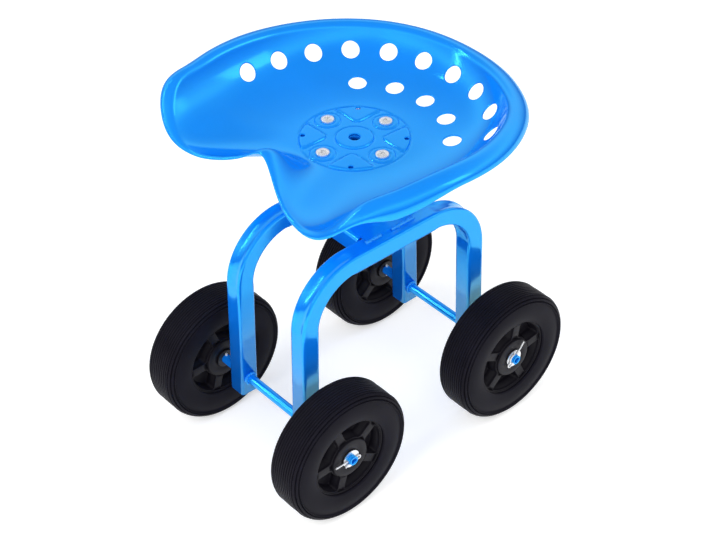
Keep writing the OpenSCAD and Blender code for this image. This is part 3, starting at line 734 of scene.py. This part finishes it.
class PieceGraph(Graph):
    """Geometry nodes with named inputs, which end in real geometry with the piece's finish."""

    def __init__(self, name, start, **kinds):
        super().__init__(bpy.data.node_groups.new(name, "GeometryNodeTree"))
        self.sockets = {}
        for label, kind in ((start, "Geometry"), *kinds.items(), ("Finish", "Material")):
            self.sockets[label] = self.tree.interface.new_socket(
                label, in_out="INPUT", socket_type="NodeSocket" + kind).identifier
        self.tree.interface.new_socket("Piece", in_out="OUTPUT", socket_type="NodeSocketGeometry")
        self.given = self.node("NodeGroupInput").outputs

    def end(self, geometry):
        real = self.node("GeometryNodeRealizeInstances", {0: geometry.outputs[0]})
        painted = self.node("GeometryNodeSetMaterial",
                            {"Geometry": real.outputs[0], "Material": self.given["Finish"]})
        self.node("NodeGroupOutput", {0: painted.outputs[0]})

    def put_on(self, made, **values):
        """Gives an object the tree as a modifier, each input set by its identifier."""
        modifier = made.modifiers.new(self.tree.name, "NODES")
        modifier.node_group = self.tree
        for label, value in values.items():
            modifier[self.sockets[label]] = value


def tube_graph(name):
    """Geometry nodes: a path with filleted corners swept with a round-cornered square."""
    g = PieceGraph(name, "Path", Side="Float", Corner="Float", Bend="Float")
    path = g.node("GeometryNodeFilletCurve",
                  {"Curve": g.given["Path"], "Count": 28, "Radius": g.given["Bend"]}, mode="POLY")
    path = g.node("GeometryNodeSetCurveNormal", {"Curve": path.outputs[0]}, mode="Z_UP")
    side = g.given["Side"]
    square = g.node("GeometryNodeCurvePrimitiveQuadrilateral", {"Width": side, "Height": side})
    square = g.node("GeometryNodeFilletCurve",
                    {"Curve": square.outputs[0], "Count": 5, "Radius": g.given["Corner"]}, mode="POLY")
    square = g.node("GeometryNodeResampleCurve", {"Curve": square.outputs[0], "Count": 88}, mode="COUNT")
    tube = g.node("GeometryNodeCurveToMesh", {"Curve": path.outputs[0], "Profile Curve": square.outputs[0]})
    g.end(g.node("GeometryNodeSetShadeSmooth", {"Geometry": tube.outputs[0]}))
    return g


class GARDENSEAT_OT_hoops(bpy.types.Operator):
    """Bends the two square-tube hoops"""

    bl_idname = "garden_seat.hoops"
    bl_label = "Tube hoops"

    # How deep the inner and the outer shaping reach into the tube, and the mark's share of its width
    inner_depth, outer_depth, mark_width = 4 * MM, 3 * MM, 0.84

    def execute(self, context):
        kit = Kit(context.scene)
        f = kit.frame
        graph = tube_graph("bent_tube")
        half = f.tube / 2
        for node in ("hoop_right", "hoop_left"):
            low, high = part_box(node)
            foot = high.y - half * cos(f.splay)
            top = high.z - half
            foot_z = low.z + half * sin(f.splay)
            corner = foot - (top - foot_z) * tan(f.splay)
            x = (low.x + high.x) / 2
            line = ((x, -foot, foot_z), (x, -corner, top), (x, corner, top), (x, foot, foot_z))
            path = polyline("bent_" + node, line)
            graph.put_on(path, Side=f.tube, Corner=f.corner, Bend=f.bend - half, Finish=kit.finish("blue_paint"))
            tube = plain(path)
            self.dent(tube, f, x, corner, top)
            wall = tube.modifiers.new("wall", "SOLIDIFY")
            wall.thickness = f.wall
            wall.offset = -1
            settle(tube, kit, "blue_paint", "frame", node)
        return {"FINISHED"}

    def dent(self, tube, f, x, corner, top):
        """Shapes both bends: inner wall pressed in with the bender's mark, outer wall dished."""
        half = f.tube / 2
        reach = f.bend - half
        points = np.array([v.co for v in tube.data.vertices])
        across = np.clip(1 - ((points[:, 0] - x) / (self.mark_width * half)) ** 2, 0, 1)
        for sign in (-1, 1):
            y = sign * points[:, 1] - (corner - reach)
            z = points[:, 2] - (top - reach)
            turn = np.degrees(np.arctan2(z, y))
            out = np.hypot(y, z)
            inner = ease((reach - half + self.inner_depth - out) / self.inner_depth)
            outer = ease((out - reach - half + self.outer_depth) / self.outer_depth)
            bent = ease(turn, 1, 9) * ease(turn, 89, 81)
            mark = ease(turn, 8, 22) * ease(turn, 82, 68)
            push = f.squeeze * inner * bent + f.dent * inner * ease(across) * mark
            push -= f.dish * outer * ease(across) * bent
            scale = np.where(out > 0, push / np.maximum(out, 1e-9), 0)
            points[:, 1] += sign * y * scale
            points[:, 2] += z * scale
        tube.data.vertices.foreach_set("co", points.astype(np.float32).ravel())
        tube.data.update()


def repeat_graph(name):
    """Geometry nodes: copies of a piece on marked points, each with its own turn and size."""
    g = PieceGraph(name, "Places", Source="Object")
    source = g.node("GeometryNodeObjectInfo", {"Object": g.given["Source"]})
    turn, size = (g.node("GeometryNodeInputNamedAttribute", {"Name": label}, data_type="FLOAT_VECTOR")
                  for label in ("turn", "size"))
    turned = g.node("FunctionNodeEulerToRotation", {"Euler": turn.outputs[0]})
    g.end(g.node("GeometryNodeInstanceOnPoints",
                 {"Points": g.given["Places"], "Instance": source.outputs["Geometry"],
                  "Rotation": turned.outputs[0], "Scale": size.outputs[0]}))
    return g


def repeat(name, kit, slot, body, source, places, *replaced, finish=None):
    """Copies of source at places, each a point, a turn and a size, as one plain mesh."""
    places = np.array(places, float)
    mesh = bpy.data.meshes.new(name)
    mesh.from_pydata(places[:, 0], [], [])
    for k, label in enumerate(("turn", "size"), 1):
        values = places[:, k].astype(np.float32).ravel()
        mesh.attributes.new(label, "FLOAT_VECTOR", "POINT").data.foreach_set("vector", values)
    made = new_object(name, mesh)
    repeat_graph(name).put_on(made, Source=source, Finish=kit.finish(finish or slot))
    made = settle(made, kit, slot, body, *replaced, finish=finish)
    for label in ("turn", "size"):
        if label in made.data.attributes:
            made.data.attributes.remove(made.data.attributes[label])
    bpy.data.objects.remove(source)


def bridge(rows):
    """Faces between closed rows of vertex numbers; a number that a face would have twice is left out."""
    faces = []
    for low, high in zip(rows, rows[1:]):
        for i in range(len(low)):
            j = (i + 1) % len(low)
            face = list(dict.fromkeys((low[i], low[j], high[j], high[i])))
            if len(face) > 2:
                faces.append(face)
    return faces


def lathe(profile, segments, axis="Z", closed=False):
    """Body of revolution from (radius, height) points; points on the axis share one vertex."""
    turn = np.arange(segments) * 2 * pi / segments
    points, rows = [], []
    for radius, height in profile:
        if radius < 1e-7:
            rows.append([len(points)] * segments)
            points.append((0, 0, height))
        else:
            rows.append(list(range(len(points), len(points) + segments)))
            points += [(radius * cos(a), radius * sin(a), height) for a in turn]
    if axis == "X":
        points = [(z, x, y) for x, y, z in points]
    return points, bridge(rows + rows[:1] if closed else rows)


def even(points, spacing):
    """Evenly spaced points along an open line."""
    points = np.array(points, float)
    run = run_along(points)
    at = np.linspace(0, run[-1], int(run[-1] / spacing) + 1)
    return np.stack([np.interp(at, run, points[:, 0]), np.interp(at, run, points[:, 1])], 1)


class GARDENSEAT_OT_wheels(bpy.types.Operator):
    """Moulds the tyres with their grooves and the spoked hubs"""

    bl_idname = "garden_seat.wheels"
    bl_label = "Wheels"

    sides = 160
    # Tyre: radii of shoulder, bulged side and rolled lip, fall of the crown, spacing of the profile's points
    shoulder_round, bulge, roll, crown_fall, spacing = 10 * MM, 50 * MM, 2.6 * MM, 0.0018, 0.22 * MM
    # Grooves: their share of the width, half width and depth; those of the shoulder with their drop of radius
    tread_share, groove, rib_round = 0.74, (1.05 * MM, 1.6 * MM), 0.18 * MM
    shoulder_grooves = ((7.3 * MM, 1.3 * MM, 2 * MM), (3.2 * MM, 1.2 * MM, 2 * MM))

    def execute(self, context):
        kit = Kit(context.scene)
        w = kit.wheel
        tyre, hub = self.tyre(w), self.hub(w)
        for wheel, centre in WHEELS.items():
            mark = wheel.split("_")[1]
            turn = w.front_turn if mark[0] == "f" else w.rear_turn
            c, s = cos(turn), sin(turn)
            turned = [(x, c * y - s * z, s * y + c * z) for x, y, z in hub[0]]
            for name, points, faces, slot in (("tyre_", *tyre, "black_rubber"),
                                              ("hub_", turned, hub[1], "black_plastic")):
                made = mesh_object("moulded_" + name + mark, np.array(points) + np.array(centre), faces)
                settle(made, kit, slot, wheel, name + mark)
        return {"FINISHED"}

    def tyre(self, w):
        """Tyre about the X axis: ribbed tread, shoulder rib, bulged side walls and a rolled lip at the hub."""
        half, top, lip = w.width / 2, w.radius, w.hub_radius - 2 * MM
        round_off, bulge, roll = self.shoulder_round, self.bulge, self.roll
        edge = top - round_off
        middle = (edge + lip) / 2
        start = half - bulge + sqrt(bulge**2 - (lip + roll - middle) ** 2)
        side = [(start - roll + roll * sin(a), lip + roll - roll * cos(a))
                for a in np.radians(np.linspace(-10, 78, 12))]
        side += [(half - bulge + sqrt(bulge**2 - (r - middle) ** 2), r)
                 for r in np.linspace(lip + roll + 0.4 * MM, edge - 0.2 * MM, 40)]
        shoulder = [(half - round_off * (1 - cos(a)), edge + round_off * sin(a))
                    for a in np.radians(np.linspace(7, 82, 24))]
        crown = [(x, top - self.crown_fall * (x / MM) ** 2 * MM) for x in np.linspace(half - 9.4 * MM, 0, 20)]
        right = even(side + shoulder + crown, self.spacing)
        right[-1, 0] = 0
        along = np.gradient(right, axis=0)
        out = np.stack([along[:, 1], -along[:, 0]], 1) / np.linalg.norm(along, axis=1)[:, None]
        run = run_along(right)
        pitch = self.tread_share * w.width / (w.grooves - 1)
        marks = [(run[-1] - k * pitch, *self.groove) for k in range(w.grooves // 2 + 1)]
        marks += [(run[np.argmin(np.abs(right[:, 1] - (top - drop)))], wide, deep)
                  for drop, wide, deep in self.shoulder_grooves]
        depth = np.zeros(len(right))
        for place, wide, deep in marks:
            near = 1 - np.abs(run - place) / wide
            depth = np.maximum(depth, deep * np.clip(near, 0, 1) ** 1.2)
        crowned = np.minimum.reduce([np.abs(run - place) for place, _, _ in marks])
        tread = run > marks[-2][0] - 2 * MM
        depth += self.rib_round * np.clip(1 - crowned / (0.5 * pitch), 0, 1) ** 2 * tread
        right = right - out * depth[:, None]
        left = (right * (-1, 1))[::-1][1:]
        inner = start - roll - 0.6 * MM
        outline = np.concatenate([[(inner, w.hub_radius)], right, left, [(-inner, w.hub_radius)]])
        return lathe([(r, x) for x, r in outline[::-1]], self.sides, "X", closed=True)

    def hub(self, w):
        """Hub about the X axis: spokes between boss and ring with a deep rounded pocket between each two."""
        star, floor = 18.5 * MM, 3 * MM
        soft, draft, floor_round = 0.7 * MM, 1.1 * MM, 1.5 * MM
        ring_in, boss_out = w.hub_radius - 3.6 * MM, w.boss_radius + 0.5 * MM
        low, high, wide = boss_out + soft + 0.2 * MM, ring_in - soft - 0.2 * MM, w.spoke_width / 2
        step = 2 * pi / w.spokes

        def pocket(plan):
            """Distance outside the outline of the nearest pocket."""
            far = np.hypot(*plan.T)
            turn = np.arctan2(plan[:, 1], plan[:, 0])
            turn = turn % step - step / 2
            spoke = wide - far * np.sin(step / 2 - np.abs(turn))
            inner = blend_max(low - far, spoke, 3 * MM)
            return blend_max(inner, np.maximum(far - high, spoke), 5 * MM)

        plan = Plan()
        points, faces, owners, edges = [], [], {}, []

        def loop(flat, x):
            points.extend((x, y, z) for y, z in flat)
            return list(range(len(points) - len(flat), len(points)))

        # Inset of the pocket's outline and height, from its rounded edge down to its floor
        levels = [(soft * (1 - sin(a)), star - soft * (1 - cos(a))) for a in np.linspace(0, pi / 2, 5)]
        levels += [(inset, floor + (star - floor) * share)
                   for inset, share in ((-0.3 * draft, 0.7), (-0.36 * draft - 0.25 * MM, 0.69),
                                        (-0.6 * draft, 0.4), (-0.66 * draft - 0.25 * MM, 0.39))]
        levels += [(-draft - floor_round * (1 - cos(a)), floor + floor_round * (1 - sin(a)))
                   for a in np.linspace(0, pi / 2, 4)]
        for k in range(w.spokes):
            turn = (k + 0.5) * step
            middle = (low + high) / 2 * np.array([cos(turn), sin(turn)])
            outlines = [contour(pocket, middle, inset) for inset, _ in levels]
            rows = [loop(flat, x) for flat, (_, x) in zip(outlines, levels)]
            faces += bridge(rows) + [rows[-1]]
            owners.update(zip(plan.add(outlines[0], closed=True).tolist(), rows[0]))
        for radius in (ring_in, boss_out):
            flat = ring(self.sides, radius)
            edges.append(loop(flat, star))
            owners.update(zip(plan.add(flat, closed=True).tolist(), edges[-1]))

        def on_star(p):
            far = np.hypot(*p.T)
            return (far < ring_in) & (far > boss_out) & (pocket(p) > soft)

        _, triangles, used = plan.triangles(on_star)
        faces += [[owners[int(used[i])] for i in t] for t in triangles]
        boss, bore, top = w.boss_width / 2, w.bore, 20 * MM
        up = [(ring_in + 0.35 * MM, star + 0.25 * MM), (ring_in + 0.5 * MM, top - 0.4 * MM),
              (ring_in + 0.9 * MM, top), (w.hub_radius - 0.3 * MM, top), (w.hub_radius, top - 0.4 * MM),
              (w.hub_radius, 0)]
        down = [(boss_out - 0.35 * MM, star + 0.2 * MM), (w.boss_radius, star + 0.6 * MM),
                (w.boss_radius, boss - 0.9 * MM), (w.boss_radius - 0.27 * MM, boss - 0.27 * MM),
                (w.boss_radius - 0.9 * MM, boss), (13.4 * MM, boss), (13 * MM, boss - 0.3 * MM),
                (bore + 0.5 * MM, boss - 0.3 * MM), (bore, boss - 0.8 * MM), (bore, 0)]
        for edge, profile, way in ((edges[0], up, 1), (edges[1], down, -1)):
            rows = [edge] + [loop(ring(self.sides, r), x) for r, x in profile]
            faces += [face[::way] for face in bridge(rows)]
        # The other face mirrors this one
        size = len(points)
        points += [(-x, y, z) for x, y, z in points]
        faces += [[i + size for i in reversed(face)] for face in faces]
        return points, faces


class GARDENSEAT_OT_fasteners(bpy.types.Operator):
    """Makes the pan-head screws and the hairpin clips"""

    bl_idname = "garden_seat.fasteners"
    bl_label = "Fasteners"

    head_radius, head_height, head_curve, shank = 8 * MM, 4 * MM, 2.2 * MM, 4 * MM

    def execute(self, context):
        kit = Kit(context.scene)
        at = kit.seat.screw_circle
        low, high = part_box("seat_screws")
        radius, height = self.head_radius, self.head_height
        head_z = high.z - height
        profile = [(0, height)]
        profile += [(radius * sin(a), height - self.head_curve * (1 - cos(a)))
                    for a in np.linspace(0.12, 0.5 * pi, 12)]
        profile += [(radius, 0.6 * MM), (radius - 0.3 * MM, 0), (self.shank, 0), (self.shank, low.z - head_z),
                    (0, low.z - head_z)]
        screw = mesh_object("screw", *lathe(profile[::-1], 48))
        cutter = self.cross()
        cut = screw.modifiers.new("recess", "BOOLEAN")
        cut.operation = "DIFFERENCE"
        cut.solver = "EXACT"
        cut.object = cutter
        plain(screw).data.set_sharp_from_angle(angle=radians(40))
        bpy.data.objects.remove(cutter)
        places = []
        for k in range(4):
            turn = k * pi / 2
            places.append(((at * cos(turn), at * sin(turn), head_z), (0, 0, 0.35 + 1.1 * k), (1, 1, 1)))
        repeat("pan_screws", kit, "zinc", "seat", screw, places, "seat_screws")
        self.clips(kit)
        return {"FINISHED"}

    def cross(self):
        """Cutter for the cross recess in a screw head."""
        arm, half = 4.4 * MM, 0.85 * MM
        corner = ((arm, -half), (arm, half), (half, half))
        plan = [(x * c - y * d, x * d + y * c) for c, d in ((1, 0), (0, 1), (-1, 0), (0, -1)) for x, y in corner]
        points = [(x * scale, y * scale, z) for z, scale in ((1.7 * MM, 0.6), (6 * MM, 1.25)) for x, y in plan]
        size = len(plan)
        faces = [tuple(reversed(range(size))), tuple(range(size, 2 * size))]
        faces += [(i, (i + 1) % size, (i + 1) % size + size, i + size) for i in range(size)]
        return mesh_object("cross", points, faces, smooth=False)

    def clips(self, kit):
        """Hairpin clips: round wire bent along a line, one at each axle end."""
        wire, axle = kit.frame.clip_wire, kit.frame.axle / 2
        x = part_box("hairpin_clips")[1].x - wire / 2
        eye, hump = 1.25 * wire, axle + 0.15 * MM + wire / 2
        line = [(4.2 * axle, 0), (-0.6 * axle, 0)]
        line += [(eye * cos(a) - 1.75 * axle, eye + eye * sin(a))
                 for a in np.radians(np.linspace(270, 60, 22))]
        line += [(hump * cos(a), hump * sin(a)) for a in np.radians(np.linspace(150, 40, 20))]
        line += [(1.7 * axle, 1.35 * axle)]
        bent = polyline("clip", [(0, a, b) for a, b in line])
        bent.data.bevel_depth = wire / 2
        bent.data.bevel_resolution = 3
        bent.data.use_fill_caps = True
        source = plain(bent)
        source.data.shade_smooth()
        places = []
        for wheel, centre in WHEELS.items():
            turn = pi if "_f" in wheel else radians(52)
            places.append(((copysign(x, centre.x), centre.y, centre.z), (turn, 0, 0), (1, 1, 1)))
        repeat("hairpins", kit, "zinc", "frame", source, places, "hairpin_clips")


class GARDENSEAT_OT_welds(bpy.types.Operator):
    """Lays the rippled weld beads on the plate and round the axles"""

    bl_idname = "garden_seat.welds"
    bl_label = "Welds"

    # Stretches of the plate's depth that have a bead, and the ripples' pitch there and number round an axle
    plate_runs, pitch, ripples = ((-0.9, -0.33), (0.1, 0.95)), 1.35 * MM, 22

    def lay(self, name, kit, places, node):
        """One rounded drop for each ripple."""
        size = 0.8 * kit.frame.weld
        profile = [(size * sin(a), size * cos(a)) for a in np.linspace(0, pi, 7)]
        profile[0], profile[-1] = (0, size), (0, -size)
        drop = mesh_object("drop", *lathe(profile[::-1], 10))
        repeat(name, kit, "blue_paint", "frame", drop, places, node, finish="welds")

    def execute(self, context):
        kit = Kit(context.scene)
        weld, axle = kit.frame.weld, kit.frame.axle
        chance = np.random.default_rng(7)
        low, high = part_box("cross_plate")
        depth = (high.y - low.y) / 2
        places = []
        for side in (-1, 1):
            for start, end in self.plate_runs:
                for y in np.arange(start * depth, end * depth, self.pitch):
                    size = 1 + 0.14 * chance.standard_normal()
                    x = side * (high.x + 0.25 * weld + 0.25 * MM * chance.standard_normal())
                    places.append(((x, side * y, HOOP_HIGH.z + 0.4 * weld), (0, side * 0.75, 0.2 * side),
                                   (1.15 * size, 0.62, 0.6 * size)))
        self.lay("plate_beads", kit, places, "plate_welds")
        places = []
        reach = axle / 2 + 0.3 * weld
        for centre in WHEELS.values():
            for k in range(self.ripples):
                a = k * 2 * pi / self.ripples
                size = 1 + 0.12 * chance.standard_normal()
                places.append(((copysign(HOOP_LOW.x - 0.3 * weld, centre.x),
                                centre.y + reach * cos(a), centre.z + reach * sin(a)),
                               (a, 0, 0), (0.9 * size, 0.9 * size, 0.62)))
        self.lay("axle_beads", kit, places, "axle_welds")
        return {"FINISHED"}


class GARDENSEAT_OT_finishes(bpy.types.Operator):
    """Gives the parts that keep their CAD shape their finishes"""

    bl_idname = "garden_seat.finishes"
    bl_label = "Finishes"

    def execute(self, context):
        kit = Kit(context.scene)
        slots = {row["node"]: row["material_slot"] for row in frame["record"]["subparts"]}
        slots["axle_washers"] = "washers"
        for node, part in frame["nodes"].items():
            for place in part.material_slots:
                place.link = "OBJECT"
                place.material = kit.finish(slots[node])
        return {"FINISHED"}


class GARDENSEAT_OT_stage(bpy.types.Operator):
    """Sets the pale floor, the soft lights and the camera"""

    bl_idname = "garden_seat.stage"
    bl_label = "Stage"

    # Each lamp's name, place, size, power and, where it shows in reflections, its turn in degrees about its aim
    lamps = (
        ("key", (0.35, -2.1, 2.1), (1.3, 1.3), 31, None),
        ("fill", (2.0, -0.9, 1.4), (1.6, 1.6), 22, None),
        ("back", (0.3, 2.2, 1.8), (1.6, 1.6), 12, None),
        ("bend_strip", (-1.56, -1.36, 1.72), (0.05, 2.6), 4.4, 33),
        ("edge_strip", (1.7, 1.33, 1.45), (0.6, 0.7), 1.6, 0),
    )
    lamp_aim = Vector((0, 0, 0.3))
    # What reflections find at each height of the sky: dark low down, a white band, a dimmer ceiling
    sky_stops = ((0.06, 0.15), (0.42, 1.0), (0.5, 1.0), (0.64, 0.55), (0.8, 0.4))
    floor_half, floor_glow, sky_light = 8, 0.42, 0.68

    # The photograph's camera: turn, rise and roll in degrees, distance, aim, and focal length in pixels
    view_angles, view_distance = (49.427, 38.4, -0.793), 2213.6 * MM
    view_target = Vector((7.909, -4.325, 224.747)) * MM
    focal_pixels, photo_width, sensor = 1809.5, 716, 36

    def execute(self, context):
        half = self.floor_half
        corners = [(-half, -half, 0), (half, -half, 0), (half, half, 0), (-half, half, 0)]
        floor = mesh_object("floor", corners, [(0, 1, 2, 3)], smooth=False)
        floor.data.materials.append(self.paper())
        self.sky(context)
        for lamp in self.lamps:
            self.lamp(*lamp)
        self.camera(context)
        context.scene.view_settings.view_transform = "Standard"
        return {"FINISHED"}

    def seen(self, g):
        """Whether a ray comes from the camera, and whether from a reflection."""
        ray = g.node("ShaderNodeLightPath").outputs
        return Number(g, ray["Is Camera Ray"]), Number(g, ray["Is Glossy Ray"])

    def paper(self):
        """White floor that keeps a soft shadow and is white to the camera and in reflections."""
        made = bpy.data.materials.new("white_paper")
        made.use_nodes = True
        g = Graph(made.node_tree)
        camera, glossy = self.seen(g)
        matt = g.node("ShaderNodeBsdfDiffuse", {"Color": (0.82, 0.82, 0.82, 1)})
        glow = g.node("ShaderNodeEmission",
                      {"Color": (1, 1, 1, 1), "Strength": (camera + glossy) * self.floor_glow})
        both = g.node("ShaderNodeAddShader", {0: matt.outputs[0], 1: glow.outputs[0]})
        g.node("ShaderNodeOutputMaterial", {0: both.outputs[0]})
        return made

    def sky(self, context):
        """White to the camera, banded in reflections and an even light for the rest."""
        world = bpy.data.worlds.new("studio")
        context.scene.world = world
        world.use_nodes = True
        g = Graph(world.node_tree)
        camera, glossy = self.seen(g)
        direction = g.node("ShaderNodeTexCoord").outputs["Generated"]
        bands = g.ramp(g.number("ShaderNodeSeparateXYZ", {0: direction}, 2), *self.sky_stops)
        light = (1 - camera - glossy) * self.sky_light + (camera + glossy * bands)
        sky = g.node("ShaderNodeBackground", {"Color": (1, 1, 1, 1), "Strength": light})
        g.node("ShaderNodeOutputWorld", {0: sky.outputs[0]})

    def lamp(self, name, place, size, power, mirrored_turn):
        light = bpy.data.lights.new(name, "AREA")
        light.shape = "RECTANGLE"
        light.size, light.size_y = size
        light.energy = power
        made = new_object(name, light)
        made.location = place
        made.rotation_mode = "QUATERNION"
        aim = (self.lamp_aim - Vector(place)).to_track_quat("-Z", "Y")
        made.rotation_quaternion = aim @ Quaternion((0, 0, 1), radians(mirrored_turn or 0))
        made.visible_glossy = mirrored_turn is not None

    def camera(self, context):
        lens = bpy.data.cameras.new("camera")
        lens.sensor_width = self.sensor
        lens.lens = self.sensor * self.focal_pixels / self.photo_width
        lens.clip_start, lens.clip_end = 0.1, 60
        made = new_object("camera", lens)
        azimuth, elevation, roll = map(radians, self.view_angles)
        made.matrix_world = (Matrix.Translation(self.view_target) @ Matrix.Rotation(azimuth, 4, "Z")
                             @ Matrix.Rotation(pi / 2 - elevation, 4, "X") @ Matrix.Rotation(roll, 4, "Z")
                             @ Matrix.Translation((0, 0, self.view_distance)))
        context.scene.camera = made


STEPS = (GARDENSEAT_OT_finishes, GARDENSEAT_OT_hoops, GARDENSEAT_OT_seat, GARDENSEAT_OT_wheels,
         GARDENSEAT_OT_fasteners, GARDENSEAT_OT_welds, GARDENSEAT_OT_stage)


class GARDENSEAT_PT_panel(bpy.types.Panel):
    """Lists the sizes and the steps"""

    bl_label = "Rolling garden seat"
    bl_space_type = "VIEW_3D"
    bl_region_type = "UI"
    bl_category = "Garden Seat"

    def draw(self, context):
        for group in ("garden_seat_pan", "garden_seat_frame", "garden_seat_wheel", "garden_seat_finish"):
            box = self.layout.box()
            settings = getattr(context.scene, group)
            for name in settings.bl_rna.properties.keys():
                if name not in ("rna_type", "name"):
                    box.prop(settings, name)
        for step in STEPS:
            self.layout.operator(step.bl_idname)


GROUPS = {
    "garden_seat_pan": GARDENSEAT_PG_seat,
    "garden_seat_frame": GARDENSEAT_PG_frame,
    "garden_seat_wheel": GARDENSEAT_PG_wheel,
    "garden_seat_finish": GARDENSEAT_PG_finish,
}
CLASSES = (*GROUPS.values(), *STEPS, GARDENSEAT_PT_panel)


def register():
    for made in CLASSES:
        bpy.utils.register_class(made)
    for name, group in GROUPS.items():
        setattr(bpy.types.Scene, name, PointerProperty(type=group))


def unregister():
    for name in GROUPS:
        delattr(bpy.types.Scene, name)
    for made in reversed(CLASSES):
        bpy.utils.unregister_class(made)


def main():
    register()
    for step in STEPS:
        group, name = step.bl_idname.split(".")
        getattr(getattr(bpy.ops, group), name)()


if __name__ == "__main__":
    main()
